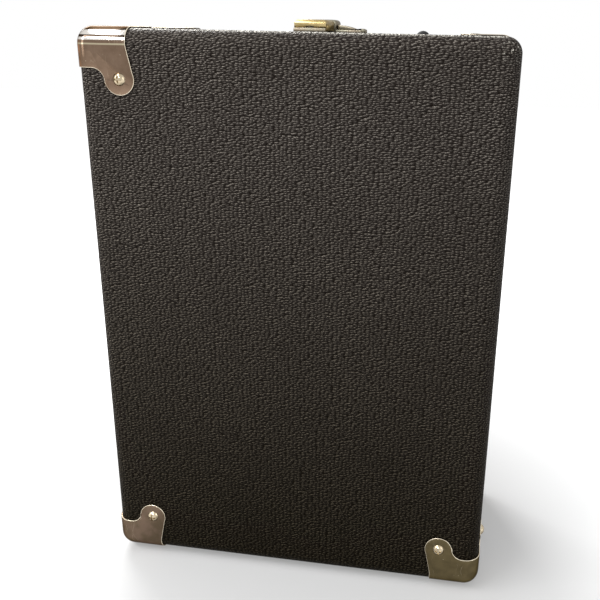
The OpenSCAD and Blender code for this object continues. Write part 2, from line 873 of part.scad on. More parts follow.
module meter_case() {
  color("#1f1e1d")
    on_panel(meter_at)
      difference() {
        union() {
          linear_extrude(meter_front - 2) rounded_rect(meter_w, meter_h, 6);
          translate([0, 0, meter_front - 2]) linear_extrude(2)
            rounded_rect(meter_w - 3, meter_h - 3, 5);
          translate([0, 0, -meter_barrel]) cylinder(d = meter_barrel_d, h = meter_barrel + eps);
        }
        // Window room, with a rebate for the pane
        translate([0, dial_up, meter_front - dial_depth]) linear_extrude(dial_depth + 1)
          rounded_rect(dial_w - 4, dial_h - 4, 3);
        translate([0, dial_up, meter_front - 1.6]) linear_extrude(2)
          rounded_rect(dial_w, dial_h, 4);
        // Room for the movement, and for the pivot behind the dial
        translate([0, 0, meter_skin - meter_barrel])
          cylinder(d = meter_barrel_d - 2 * meter_skin, h = meter_barrel - meter_skin - 2);
        translate([0, pivot_up, -3]) cylinder(d = 12, h = meter_front);
        // Slot of the zero screw, under the window
        translate([0, -meter_h / 2 + 7, meter_front - 1.2]) cylinder(d = 6, h = 2);
      }
}

// Pane of the meter, flush in its rebate.
module meter_window() {
  color([0.8, 0.85, 0.85, 0.4])
    on_panel(meter_at)
      translate([0, dial_up, meter_front - 1.6]) linear_extrude(1.5)
        rounded_rect(dial_w - 2 * fit, dial_h - 2 * fit, 4);
}

module meter_dial() {
  color("#e8e2cf")
    on_panel(meter_at)
      translate([0, dial_up, meter_front - dial_depth])
        linear_extrude(dial_t)
          difference() {
            rounded_rect(dial_w - 4 - 2 * fit, dial_h - 4 - 2 * fit, 3);
            translate([0, pivot_up - dial_up]) circle(d = 9);
          }
}

// Ring magnet with two pole pieces and a core, on the floor of the barrel.
module meter_movement() {
  floor_z = meter_skin - meter_barrel;
  h = 18;
  color("#5f6264")
    on_panel(meter_at)
      translate([0, pivot_up, floor_z]) {
        difference() {
          translate([0, -pivot_up, 0]) cylinder(d = meter_barrel_d - 2 * meter_skin - 1, h = 4);
          translate([0, 0, -eps]) cylinder(d = 3, h = 5);
        }
        difference() {
          cylinder(r = 14, h = h);
          translate([0, 0, 4]) cylinder(r = 9, h = h);
        }
        translate([0, 0, 3]) cylinder(r = 5, h = h - 6);
      }
}

// Pointer with its tail and hub, on the spindle that carries the moving coil.
module meter_pointer() {
  z = meter_front - dial_depth + dial_t + 1.4;
  coil_z = meter_skin - meter_barrel + 4.4;
  color("#15110f")
    on_panel([meter_at[0], meter_at[1] + pivot_up])
      rotate([0, 0, pointer_rest]) {
        translate([0, 0, z]) linear_extrude(0.8)
          polygon([[-1, -5], [1, -5], [0.9, 0], [0.35, pointer_len], [-0.35, pointer_len], [-0.9, 0]]);
        translate([0, 0, z - 0.8]) cylinder(r = 3.2, h = 2.4);
        translate([0, 0, coil_z + 11]) cylinder(r = 0.8, h = z - coil_z - 11);
        difference() {
          translate([0, 0, coil_z]) cylinder(r = 7.4, h = 13);
          translate([0, 0, coil_z - 1]) cylinder(r = 5.8, h = 12.6);
        }
      }
}

// ---------------------------------------------------------------- tube sockets

// Angle of pin i, with the places left out at the lower side.
function pin_angle(s, i) = -90 + 360 / (s[2] + s[3]) * (i + (s[3] + 1) / 2);

// Moulded socket, set in from behind, with a pin hole on each place and a key hole.
module tube_socket(s) {
  r = s[0] / 2;
  difference() {
    union() {
      translate([0, 0, -socket_deep]) cylinder(r = r, h = socket_deep + socket_proud - 0.5);
      translate([0, 0, socket_proud - 0.5]) cylinder(r1 = r, r2 = r - 0.5, h = 0.5);
      translate([0, 0, -panel_t - 2.4]) cylinder(r = r + socket_flange, h = 2.4);
    }
    for (i = [0:s[2] - 1])
      rotate([0, 0, pin_angle(s, i)])
        translate([s[1] / 2, 0, socket_proud - 8]) cylinder(d = s[4], h = 10, $fn = 24);
    translate([0, 0, -socket_deep - 1]) cylinder(d = s[5], h = socket_deep + 4);
  }
}

// Solder tags of every socket, one behind each pin.
module socket_contacts() {
  color("#c9b27a")
    for (s = sockets, i = [0:s[1][2] - 1])
      on_panel(s[0])
        rotate([0, 0, pin_angle(s[1], i)])
          translate([s[1][1] / 2 - 0.3, -0.6, -socket_deep - 6]) cube([0.6, 1.2, 6]);
}

module socket_octal() {
  color("#3a1f16") on_panel(octal_at)
    difference() {
      tube_socket(octal);
      translate([-1.2, -octal[5] / 2 - 1.2, -socket_deep - 1]) cube([2.4, 3, socket_deep + 4]);
    }
}

module socket_loctal() {
  color("#3a1f16") on_panel(loctal_at)
    difference() {
      tube_socket(loctal);
      translate([-1, -loctal[5] / 2 - 1, -socket_deep - 1]) cube([2, 3, socket_deep + 4]);
    }
}

module socket_compactron() {
  color("#3a1f16") on_panel(compactron_at) tube_socket(compactron);
}

module socket_novar() {
  color("#3a1f16") on_panel(novar_at) tube_socket(novar);
}

module socket_noval() {
  color("#3a1f16") on_panel(noval_at) tube_socket(noval);
}

module socket_miniature() {
  color("#3a1f16") on_panel(miniature_at) tube_socket(miniature);
}

module socket_nuvistor() {
  color("#3a1f16") on_panel(nuvistor_at) tube_socket(nuvistor);
}

// Steel block that presses bent pins straight, on a threaded neck with a nut behind.
module pin_straightener(s, neck_d) {
  h = 9;
  difference() {
    union() {
      cylinder(d = s[0], h = h - 1);
      translate([0, 0, h - 1]) cylinder(d1 = s[0], d2 = s[0] - 2, h = 1);
      translate([0, 0, -9]) cylinder(d = neck_d - 2 * fit, h = 9 + eps);
      translate([0, 0, -panel_t - 3]) cylinder(d = neck_d + 6, h = 3, $fn = 6);
    }
    for (i = [0:s[2] - 1])
      rotate([0, 0, pin_angle(s, i)])
        translate([s[1] / 2, 0, h - 7]) {
          cylinder(d = s[4], h = 9, $fn = 24);
          translate([0, 0, 6.4]) cylinder(d1 = s[4], d2 = s[4] + 1.2, h = 0.7, $fn = 24);
        }
    translate([0, 0, h - 7]) cylinder(d = s[5], h = 9);
  }
}

module pin_straightener_7() {
  color("#c4c4c0") on_panel(straightener_7_at) pin_straightener(miniature, 10);
}

module pin_straightener_9() {
  color("#c4c4c0") on_panel(straightener_9_at) pin_straightener(noval, 12);
}

// Insulated jack for the lead of a tube's top cap.
module plate_cap_jack() {
  color("#7c1f1a")
    on_panel(jack_at)
      difference() {
        union() {
          rotate_extrude()
            polygon([[0, 0], [6.5, 0], [6.5, 3], [5, 6], [0, 6]]);
          translate([0, 0, -12]) cylinder(d = 8, h = 12 + eps);
          translate([0, 0, -panel_t - 3]) cylinder(d = 13, h = 3, $fn = 6);
        }
        translate([0, 0, -8]) cylinder(d = 2.2, h = 20);
      }
}

// ---------------------------------------------------------------- lamps, fuse, inlet, switch

lamp_d = 12;
fuse_d = 12.5;
inlet_w = 27;
inlet_h = 20;
toggle_bush_d = 11.8;
toggle_bore = 8.4;
toggle_pivot = 1;
toggle_tilt = 17;

// Lamp holder: its bezel in front of the panel, its nut and barrel behind.
module lamp(lens_r) {
  rotate_extrude()
    polygon([
      [0, -22], [lamp_d / 2, -22], [lamp_d / 2, 0], [lamp_d / 2 + 2.5, 0],
      [lamp_d / 2 + 2.5, 1.6], [lamp_d / 2 + 1, 3], [lens_r, 3], [lens_r, 2], [0, 2]
    ]);
  translate([0, 0, -panel_t - 2.6]) cylinder(d = lamp_d + 5, h = 2.6, $fn = 6);
}

// Faceted jewel that stands in its bezel.
module pilot_jewel() {
  r = 5.4;
  on_panel(pilot_at) {
    color("#c8c6c0") lamp(r + fit);
    color("#a3160f") translate([0, 0, 2 + fit]) {
      cylinder(r = r, h = 3);
      translate([0, 0, 3]) cylinder(r1 = r, r2 = 2.6, h = 2.6, $fn = 8);
    }
  }
}

// Smooth amber lens of the neon lamp that shows a short.
module shorts_lamp() {
  r = 5.4;
  on_panel(shorts_at) {
    color("#c8c6c0") lamp(r + fit);
    color("#c96a1c") translate([0, 0, 2 + fit]) {
      cylinder(r = r, h = 2);
      intersection() {
        translate([0, 0, 2]) cylinder(r = r, h = 4);
        translate([0, 0, -1]) sphere(6.2);
      }
    }
  }
}

// Fuse holder with a slotted, knurled cap.
module fuse_holder() {
  color("#1d1c1b")
    on_panel(fuse_at)
      difference() {
        union() {
          cylinder(d = fuse_d + 5, h = 2);
          linear_extrude(10)
            difference() {
              circle(d = fuse_d + 2);
              for (a = [0:30:359]) rotate([0, 0, a]) translate([fuse_d / 2 + 1.6, 0]) circle(1.2);
            }
          translate([0, 0, -34]) cylinder(d = fuse_d, h = 34 + eps);
          translate([0, 0, -panel_t - 3]) cylinder(d = fuse_d + 6, h = 3, $fn = 6);
        }
        translate([-6, -0.8, 8.6]) cube([12, 1.6, 3]);
      }
}

// Recessed inlet with two flat pins for a detachable mains lead.
module mains_inlet() {
  deep = 18;
  color("#1b1a19")
    on_panel(inlet_at)
      difference() {
        union() {
          linear_extrude(2) rounded_rect(inlet_w + 13, inlet_h + 4, 4);
          translate([-inlet_w / 2, -inlet_h / 2, -deep - 2]) cube([inlet_w, inlet_h, deep + 3]);
        }
        translate([-inlet_w / 2 + 2, -inlet_h / 2 + 2, -deep])
          cube([inlet_w - 4, inlet_h - 4, deep + 4]);
      }
  color("#c9b27a")
    on_panel(inlet_at)
      for (x = [-6, 6])
        translate([x - 0.75, -3, -deep]) cube([1.5, 6, deep - 3]);
}

// Body of the toggle switch, with its threaded bush and two nuts.
module power_switch() {
  color("#9c9a94")
    on_panel(toggle_at)
      difference() {
        union() {
          translate([-7, -14, -26]) cube([14, 28, 20]);
          translate([0, 0, -6 - eps]) cylinder(d = toggle_bush_d, h = 13);
          cylinder(d = 17, h = 2.2, $fn = 6);
          translate([0, 0, -panel_t - 2]) cylinder(d = 17, h = 2, $fn = 6);
        }
        translate([0, 0, -12]) cylinder(d = toggle_bore, h = 30);
        translate([-5, -8, -22]) cube([10, 16, 14.5]);
      }
}

// Bat lever, pointing down when the tester is off.
module power_toggle() {
  color("#cfcdc7")
    on_panel(toggle_at)
      translate([0, 0, toggle_pivot])
        rotate([toggle_tilt, 0, 0]) {
          sphere(r = 3.4);
          rotate([0, 90, 0]) cylinder(r = 1.2, h = toggle_bore - 0.6, center = true);
          cylinder(r = 1.5, h = 8);
          translate([0, 0, 7]) cylinder(r1 = 1.5, r2 = 3, h = 11);
          translate([0, 0, 18]) sphere(r = 3);
          translate([0, 0, -14]) cylinder(r = 1.2, h = 14);
        }
}

// ---------------------------------------------------------------- knobs and what they turn

bush_d = 9.4;
bush_len = 7;
shaft_out = 14;

// Fluted knob on a skirt that tapers to its rim, bored for the shaft.
module knob(body_d, flutes) {
  skirt = 3;
  lift = bush_len + gap + 0.2;
  foot = 0.6;
  difference() {
    union() {
      translate([0, 0, foot])
        cylinder(d1 = knob_skirt_d, d2 = knob_skirt_d - 4, h = skirt);
      translate([0, 0, foot + skirt - eps]) linear_extrude(knob_h - skirt - foot - 1)
        difference() {
          circle(d = body_d);
          for (i = [0:flutes - 1])
            rotate([0, 0, 360 / flutes * (i + 0.5)])
              translate([body_d / 2 + 0.7, 0]) circle(1.7, $fn = 24);
        }
      translate([0, 0, knob_h - 1 - 2 * eps]) cylinder(d1 = body_d - 2.2, d2 = body_d - 4, h = 1);
    }
    // Room for the bush and its nut, then the bore that grips the shaft
    translate([0, 0, -1]) cylinder(d = 17, h = lift + 1);
    cylinder(d = shaft_d + 2 * fit, h = shaft_out + fit);
  }
}

// Shaft that runs from the switch or potentiometer into the knob.
module knob_shaft(back) {
  translate([0, 0, -back]) cylinder(d = shaft_d, h = back + shaft_out);
}

wafer_d = 38;
switch_back = 37;
can_d = 24;
can_h = 12;

module filament_knob() {
  on_panel(filament_at) {
    color("#191817") knob(24, 18);
    color("#b8b6b0") knob_shaft(switch_back);
  }
}

module function_knob() {
  on_panel(function_at) {
    color("#191817") knob(24, 18);
    color("#b8b6b0") knob_shaft(switch_back);
  }
}

module load_knob() {
  on_panel(load_at) {
    color("#191817") knob(21, 14);
    color("#b8b6b0") knob_shaft(10);
  }
}

module bias_knob() {
  on_panel(bias_at) {
    color("#191817") knob(21, 14);
    color("#b8b6b0") knob_shaft(10);
  }
}

// Bush with its nuts, through which a shaft passes.
module shaft_bush() {
  difference() {
    union() {
      translate([0, 0, -panel_t - 3]) cylinder(d = bush_d, h = panel_t + 3 + bush_len);
      cylinder(d = 14, h = 2.2, $fn = 6);
      translate([0, 0, -panel_t - 3]) cylinder(d = 16, h = 3);
    }
    translate([0, 0, -20]) cylinder(d = shaft_d + 4 * fit, h = 40);
  }
}

// Two-wafer rotary switches behind the filament and function knobs.
module rotary_switches() {
  plate = -panel_t - 3;
  for (at = [filament_at, function_at])
    on_panel(at) {
      color("#a9a79f") {
        shaft_bush();
        difference() {
          translate([0, 0, plate - 2]) linear_extrude(2) rounded_rect(wafer_d, 22, 4);
          translate([0, 0, plate - 3]) cylinder(d = shaft_d + 4 * fit, h = 4);
        }
        for (x = [-1, 1])
          translate([x * (wafer_d / 2 - 4), 0, -38]) cylinder(d = 3, h = 38 + plate - 2);
      }
      color("#8a5a2b")
        for (z = [-22, -34])
          translate([0, 0, z])
            difference() {
              cylinder(d = wafer_d, h = 1.8);
              translate([0, 0, -1]) cylinder(d = shaft_d + 1.4, h = 4);
              for (x = [-1, 1])
                translate([x * (wafer_d / 2 - 4), 0, -1]) cylinder(d = 3 + 2 * fit, h = 4);
            }
    }
}

// Potentiometers behind the load and bias knobs.
module potentiometers() {
  plate = -panel_t - 3;
  for (at = [load_at, bias_at])
    on_panel(at) {
      color("#a9a79f") {
        shaft_bush();
        translate([0, 0, plate - can_h])
          difference() {
            cylinder(d = can_d, h = can_h);
            translate([0, 0, 2]) cylinder(d = can_d - 3, h = can_h - 4);
            translate([0, 0, 5]) cylinder(d = shaft_d + 4 * fit, h = can_h);
          }
      }
      color("#8a5a2b")
        for (x = [-5, 0, 5])
          translate([x - 1, -can_d / 2 - 6, plate - 4]) cube([2, 8, 0.8]);
    }
}

// ---------------------------------------------------------------- push buttons

collar_h = 5;
collar_thread_d = 14;
button_out = 5;

// Switch body behind the panel and collar in front, with one bore for the button.
module button_switches() {
  color("#b7b5af")
    for (at = buttons_at)
      on_panel(at)
        difference() {
          union() {
            cylinder(d = 18, h = 2.4, $fn = 6);
            cylinder(d = collar_thread_d, h = collar_h);
            translate([0, 0, -panel_t - 2]) cylinder(d = collar_thread_d, h = panel_t + 2 + eps);
            translate([-9, -9, -22]) cube([18, 18, 22 - panel_t]);
          }
          translate([0, 0, -12]) cylinder(d = button_d + 2 * gap, h = 30);
          translate([0, 0, -19]) cylinder(d = 4 + 2 * gap, h = 20);
        }
}

// Button with a domed top, a guiding skirt and a plunger.
module test_button(at, tint) {
  color(tint)
    on_panel(at)
      rotate_extrude()
        polygon([
          [0, -14], [2, -14], [2, -4], [button_d / 2, -4],
          [button_d / 2, collar_h + button_out - 1],
          [button_d / 2 - 1, collar_h + button_out], [0, collar_h + button_out]
        ]);
}

module test_button_1() {
  test_button(buttons_at[0], "#8e1d17");
}

module test_button_2() {
  test_button(buttons_at[1], "#1b1a19");
}

module test_button_3() {
  test_button(buttons_at[2], "#1b1a19");
}

// ---------------------------------------------------------------- behind the panel

// Mains transformer on the back wall: stacked core, winding and foot straps.
module transformer() {
  core = [72, 30, 60];
  coil = [40, 42, 36];
  at = [mid_x - 52, mid_z - 124];
  color("#4a4744")
    translate([at[0], back_y, at[1]])
      translate([-core[0] / 2, -core[1] - 6, -core[2] / 2]) cube(core);
  color("#6b5a3a")
    translate([at[0], back_y - 6 - core[1] / 2, at[1]])
      for (s = [-1, 1])
        translate([-coil[0] / 2, s > 0 ? core[1] / 2 : -coil[1] / 2, -coil[2] / 2])
          cube([coil[0], (coil[1] - core[1]) / 2, coil[2]]);
  color("#8b8983")
    for (s = [-1, 1])
      translate([at[0] + s * core[0] / 2 - 8, back_y - 6, at[1] - core[2] / 2])
        cube([16, 6, core[2]]);
}

// Resin-board circuit on four posts, with its parts on the side toward the panel.
module circuit_board() {
  size = [130, 1.6, 84];
  post = 12;
  mid = [mid_x + 20, mid_z + 20];
  part_r = [9, 9, 6, 6];
  color("#7a5a2c")
    translate([mid[0] - size[0] / 2, back_y - post - size[1], mid[1] - size[2] / 2]) cube(size);
  color("#b7b5af")
    for (x = [-1, 1], z = [-1, 1])
      translate([mid[0] + x * (size[0] / 2 - 6), back_y, mid[1] + z * (size[2] / 2 - 6)])
        rotate([90, 0, 0]) cylinder(d = 6, h = post);
  color("#3f4a52")
    for (i = [0:3])
      translate([mid[0] - 44 + 29 * i, back_y - post - size[1] - part_r[i], mid[1] - 30])
        cylinder(r = part_r[i], h = 34);
  color("#8a4a2a")
    for (i = [0:7])
      translate([mid[0] - 52 + 14 * i, back_y - post - size[1] - 2.4, mid[1] + 14])
        cylinder(d = 4.8, h = 16);
}

lid_shell();
lid_lining();
chart_pocket();
lid_corner_guards();
lid_guard_screws();
base_shell();
base_valance();
base_corner_guards();
base_guard_screws();
end_feet();
back_feet();
hinge_base_leaves();
hinge_lid_leaves();
hinge_pins();
catch_hinge_plate();
catch_hasp();
catch_pin();
catch_plate();
catch_slide();
top_bumper();
handle_brackets();
handle_bail();
handle_grip();
panel_battens();
panel();
panel_screws();
meter_case();
meter_window();
meter_dial();
meter_movement();
meter_pointer();
socket_octal();
socket_loctal();
socket_compactron();
socket_novar();
socket_noval();
socket_miniature();
socket_nuvistor();
pin_straightener_7();
pin_straightener_9();
socket_contacts();
plate_cap_jack();
pilot_jewel();
shorts_lamp();
fuse_holder();
mains_inlet();
power_switch();
power_toggle();
filament_knob();
function_knob();
load_knob();
bias_knob();
rotary_switches();
potentiometers();
button_switches();
test_button_1();
test_button_2();
test_button_3();
transformer();
circuit_board();
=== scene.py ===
"""Looks, small fittings and stage for a portable tube tester in its carrying case."""

import json
import math
import random

import bmesh
import bpy
from mathutils import Matrix, Vector


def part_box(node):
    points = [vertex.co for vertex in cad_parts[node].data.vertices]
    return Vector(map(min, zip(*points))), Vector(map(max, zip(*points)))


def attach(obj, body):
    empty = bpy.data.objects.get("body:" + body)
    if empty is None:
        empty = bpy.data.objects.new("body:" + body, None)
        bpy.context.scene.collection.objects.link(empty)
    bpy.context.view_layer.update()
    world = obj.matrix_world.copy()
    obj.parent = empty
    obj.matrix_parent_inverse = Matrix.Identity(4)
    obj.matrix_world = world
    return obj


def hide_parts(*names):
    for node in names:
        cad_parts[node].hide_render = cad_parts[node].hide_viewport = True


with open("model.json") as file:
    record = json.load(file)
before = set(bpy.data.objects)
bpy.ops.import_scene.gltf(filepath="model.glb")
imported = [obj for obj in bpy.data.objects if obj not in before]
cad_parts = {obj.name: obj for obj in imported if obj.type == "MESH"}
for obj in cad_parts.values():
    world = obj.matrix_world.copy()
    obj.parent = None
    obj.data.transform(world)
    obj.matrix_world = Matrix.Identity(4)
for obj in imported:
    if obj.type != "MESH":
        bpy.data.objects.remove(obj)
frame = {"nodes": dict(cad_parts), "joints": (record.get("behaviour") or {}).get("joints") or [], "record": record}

bl_info = {
    "name": "Tube Tester Looks",
    "version": (1, 0, 0),
    "blender": (4, 5, 0),
    "location": "3D View > Sidebar > Tester",
    "description": "Covers, plates and prints a portable tube tester around its solid frame",
    "category": "Object",
}

MM = 0.001
SHARP = 38.0             # degrees past which an edge of a pressed piece is a sharp one
LEFTWARD = Vector((-1.0, 0.0, 0.0))
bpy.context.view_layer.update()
RECORD_COLOURS = {m["slot"]: tuple(m["base_color"][:3]) for m in frame["record"]["materials"]}
JOINTS = {joint["name"]: joint for joint in frame["joints"]}

# Each dial's knob, its joint and how many figures stand round it
DIALS = (("filament_knob", "panel_filament_turn", 12), ("function_knob", "panel_function_turn", 6),
         ("load_knob", "panel_load_turn", 11), ("bias_knob", "panel_bias_turn", 11))

PANEL_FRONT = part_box("panel")[0][1]
SHELL_LOW, SHELL_HIGH = (Vector(corner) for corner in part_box("base_shell"))
LID_LOW = Vector(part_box("lid_shell")[0])
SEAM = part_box("lid_shell")[1][1]
SHELL_HEIGHT = SHELL_HIGH.z - SHELL_LOW.z
CASE_LOW = Vector((SHELL_LOW.x, LID_LOW.y, SHELL_LOW.z))
CASE_MID = (CASE_LOW + SHELL_HIGH) / 2


# ---------------- node graphs

def maths(operation, turned=False):
    """A method that adds a Math node; turned puts the other value first."""
    def method(self, other=0.0):
        first, second = (other, self) if turned else (self, other)
        return self.graph.node("ShaderNodeMath", {"operation": operation}, {0: first, 1: second})[0]

    return method


class Value:
    """An output of a node, for use in Python expressions."""

    __add__ = maths("ADD")
    __radd__ = maths("ADD", turned=True)
    __sub__ = maths("SUBTRACT")
    __rsub__ = maths("SUBTRACT", turned=True)
    __mul__ = maths("MULTIPLY")
    __rmul__ = maths("MULTIPLY", turned=True)
    __lt__ = maths("LESS_THAN")
    __gt__ = maths("GREATER_THAN")
    __abs__ = maths("ABSOLUTE")
    most = maths("MAXIMUM")
    sine = maths("SINE")

    def __init__(self, graph, socket):
        self.graph = graph
        self.socket = socket

    def __neg__(self):
        return self * -1.0


class Made:
    """A node whose outputs are read by name or by place."""

    def __init__(self, graph, made):
        self.graph = graph
        self.made = made

    def __getitem__(self, key):
        return Value(self.graph, self.made.outputs[key])


class Graph:
    """A node tree that is filled with one method."""

    def __init__(self, tree):
        self.tree = tree

    def node(self, kind, settings=None, inputs=None):
        made = self.tree.nodes.new(kind)
        for key, value in (settings or {}).items():
            setattr(made, key, value)
        for key, value in (inputs or {}).items():
            for part in value if isinstance(value, list) else [value]:
                if isinstance(part, Value):
                    self.tree.links.new(part.socket, made.inputs[key])
                else:
                    made.inputs[key].default_value = part
        return Made(self, made)


class Look(Graph):
    """One procedural material: its patterns, and the surface that they feed."""

    def __init__(self, name, **steady):
        self.material = bpy.data.materials.new(name)
        self.material.use_nodes = True
        super().__init__(self.material.node_tree)
        self.tree.nodes.clear()
        steady = {key.replace("_", " "): value for key, value in steady.items()}
        self.surface = self.node("ShaderNodeBsdfPrincipled", None, steady)
        self.place = self.node("ShaderNodeTexCoord")["Object"]

    def vector(self, operation, first, second, output=0):
        return self.node("ShaderNodeVectorMath", {"operation": operation}, {0: first, 1: second})[output]

    def stretch(self, factors, where=None):
        return self.vector("MULTIPLY", where or self.place, factors)

    def axes(self):
        split = self.node("ShaderNodeSeparateXYZ", None, {0: self.place})
        return split["X"], split["Y"], split["Z"]

    def noise(self, scale, detail, where=None, output=0):
        return self.node("ShaderNodeTexNoise", None,
                         {"Vector": where or self.place, "Scale": scale, "Detail": detail})[output]

    def patches(self, scale, detail, low, high, where=None):
        """Noise with its ends cut off: 0 below low and 1 above high."""
        return self.spread(self.noise(scale, detail, where), low, high)

    def cells(self, scale, feature="F1", where=None):
        return self.node("ShaderNodeTexVoronoi", {"feature": feature},
                         {"Vector": where or self.place, "Scale": scale})["Distance"]

    def dots(self, scale, low, high, where=None):
        """1 round the middle of each cell and 0 past high."""
        return self.spread(self.cells(scale, "F1", where), low, high, 1.0, 0.0)

    def pebbles(self, scale, where):
        """Flat Voronoi domes, 1 on top and 0 in the creases."""
        made = self.node("ShaderNodeTexVoronoi", {"voronoi_dimensions": "2D"},
                         {"Vector": where, "Scale": scale, "Randomness": 0.72})
        return self.spread(made["Distance"], 0.05, 1.05, 1.0, 0.0)

    def warped(self, scale, reach, where=None):
        shift = self.vector("SUBTRACT", self.noise(scale, 2.0, where, "Color"), (0.5, 0.5, 0.5))
        return self.vector("ADD", where or self.place, self.vector("MULTIPLY", shift, (reach,) * 3))

    def spread(self, value, low, high, to_low=0.0, to_high=1.0):
        return self.node("ShaderNodeMapRange", {"clamp": True},
                         {0: value, 1: low, 2: high, 3: to_low, 4: to_high})[0]

    def mix(self, share, first, second):
        colours = {key: value if isinstance(value, Value) else (*value, 1.0)
                   for key, value in ((6, first), (7, second))}
        return self.node("ShaderNodeMix", {"data_type": "RGBA"}, {0: share, **colours})[2]

    def layers(self, colour, *over):
        """Colours that lie over the first one, each given by its share and itself."""
        for share, upper in over:
            colour = self.mix(share, colour, upper)
        return colour

    def bump(self, height, depth, after=None):
        inputs = {"Height": height, "Distance": depth, "Strength": 1.0}
        if after:
            inputs["Normal"] = after
        return self.node("ShaderNodeBump", None, inputs)["Normal"]

    def finish(self, colour, rough, normal):
        for key, value in (("Base Color", colour), ("Roughness", rough), ("Normal", normal)):
            self.tree.links.new(value.socket, self.surface.made.inputs[key])
        self.node("ShaderNodeOutputMaterial", None, {"Surface": self.surface["BSDF"]})
        return self.material


class Recipe(Graph):
    """A Geometry Nodes tree with named inputs."""

    KINDS = {float: "NodeSocketFloat", int: "NodeSocketInt", bool: "NodeSocketBool"}

    def __init__(self, name, sizes):
        super().__init__(bpy.data.node_groups.new(name, "GeometryNodeTree"))
        self.tree.is_modifier = True
        self.keys = {}
        self._socket("Geometry", "NodeSocketGeometry")
        self.tree.interface.new_socket(name="Geometry", in_out="OUTPUT", socket_type="NodeSocketGeometry")
        for key, value in sizes.items():
            self._socket(key, self.KINDS[type(value)]).default_value = value
        self._socket("Material", "NodeSocketMaterial")
        self.given = self.node("NodeGroupInput")

    def _socket(self, key, kind):
        made = self.tree.interface.new_socket(name=key, in_out="INPUT", socket_type=kind)
        self.keys[key] = made.identifier
        return made

    def xyz(self, x, y, z):
        return self.node("ShaderNodeCombineXYZ", None, {0: x, 1: y, 2: z})[0]

    def moved(self, shape, **change):
        change = {key.capitalize(): value for key, value in change.items()}
        return self.node("GeometryNodeTransform", None, {"Geometry": shape, **change})[0]

    def solid(self, kind, **sizes):
        """A mesh primitive, such as a Cone or a Cube."""
        sizes = {key.replace("_", " "): value for key, value in sizes.items()}
        return self.node("GeometryNodeMesh" + kind, None, sizes)["Mesh"]

    def boolean(self, operation, meshes):
        return self.node("GeometryNodeMeshBoolean", {"operation": operation, "solver": "EXACT"},
                         meshes)["Mesh"]

    def attribute(self, name, kind):
        return self.node("GeometryNodeInputNamedAttribute", {"data_type": kind},
                         {"Name": name})["Attribute"]

    def aimed(self, way, **settings):
        return self.node("FunctionNodeAlignRotationToVector", settings, {"Vector": way})[0]

    def finish(self, points, shape, aim):
        """Puts the shape on every point, turned by aim."""
        copies = self.node("GeometryNodeInstanceOnPoints", None,
                           {"Points": points, "Instance": shape, "Rotation": aim})[0]
        real = self.node("GeometryNodeRealizeInstances", None, {0: copies})[0]
        dressed = self.node("GeometryNodeSetMaterial", None,
                            {"Geometry": real, "Material": self.given["Material"]})[0]
        self.node("NodeGroupOutput", None, {0: dressed})
        return self

    def apply(self, piece, **sizes):
        """Runs the tree on a piece and leaves a plain mesh."""
        modifier = piece.modifiers.new(self.tree.name, "NODES")
        modifier.node_group = self.tree
        for key, value in sizes.items():
            modifier[self.keys[key.replace("_", " ")]] = value
        settle(piece)
        dress(piece, sizes["Material"])
        return piece


# ---------------- mesh helpers

def link(name, data):
    """A new object in the scene."""
    piece = bpy.data.objects.new(name, data)
    bpy.context.scene.collection.objects.link(piece)
    return piece


def settle(piece):
    """Turns a piece with live modifiers into a plain mesh."""
    depsgraph = bpy.context.evaluated_depsgraph_get()
    mesh = bpy.data.meshes.new_from_object(piece.evaluated_get(depsgraph), depsgraph=depsgraph)
    piece.modifiers.clear()
    piece.data = mesh


def dress(piece, material):
    """One material on every face."""
    piece.data.materials.clear()
    piece.data.materials.append(material)
    piece.data.polygons.foreach_set("material_index", [0] * len(piece.data.polygons))


def shade(piece, angle):
    piece.data.shade_smooth()
    piece.data.set_sharp_from_angle(angle=math.radians(angle))


def add_piece(name, bm, material, smooth=40.0):
    """A new object from a bmesh, smooth up to an angle."""
    mesh = bpy.data.meshes.new(name)
    bm.to_mesh(mesh)
    bm.free()
    mesh.materials.append(material)
    piece = link(name, mesh)
    shade(piece, smooth)
    return piece


def node_mesh(node):
    """The mesh of a solid, to be changed in a copy."""
    bm = bmesh.new()
    bm.from_mesh(frame["nodes"][node].data)
    return bm


def corners(node):
    low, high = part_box(node)
    return Vector(low), Vector(high)


def box_mid(node):
    low, high = corners(node)
    return (low + high) / 2


def sweep_of(joint):
    """How far a joint turns, in degrees."""
    low, high = JOINTS[joint]["range_deg"]
    return high - low


def panel_way(angle):
    """The direction at an angle on the panel, from +X toward +Z."""
    return Vector((math.cos(angle), 0.0, math.sin(angle)))


def loft(bm, rows, closed=False):
    """A skin over loops of points; closed joins the last loop to the first, or else both are capped."""
    rows = [[bm.verts.new(point) for point in row] for row in rows]
    for one, two in list(zip(rows, rows[1:])) + ([(rows[-1], rows[0])] if closed else []):
        for i in range(len(one)):
            j = (i + 1) % len(one)
            bm.faces.new((one[i], one[j], two[j], two[i]))
    if not closed:
        bm.faces.new(rows[0])
        bm.faces.new(rows[-1])
    bmesh.ops.recalc_face_normals(bm, faces=bm.faces)


def thin_box(bm, base, along, across, length, width, height):
    """A box that starts at base, in the middle of its width, and rises from along and across."""
    rise = along.cross(across).normalized() * height
    outline = ((0.0, -0.5), (length, -0.5), (length, 0.5), (0.0, 0.5))
    low = [base + along * u + across * v * width for u, v in outline]
    loft(bm, (low, [point + rise for point in low]))


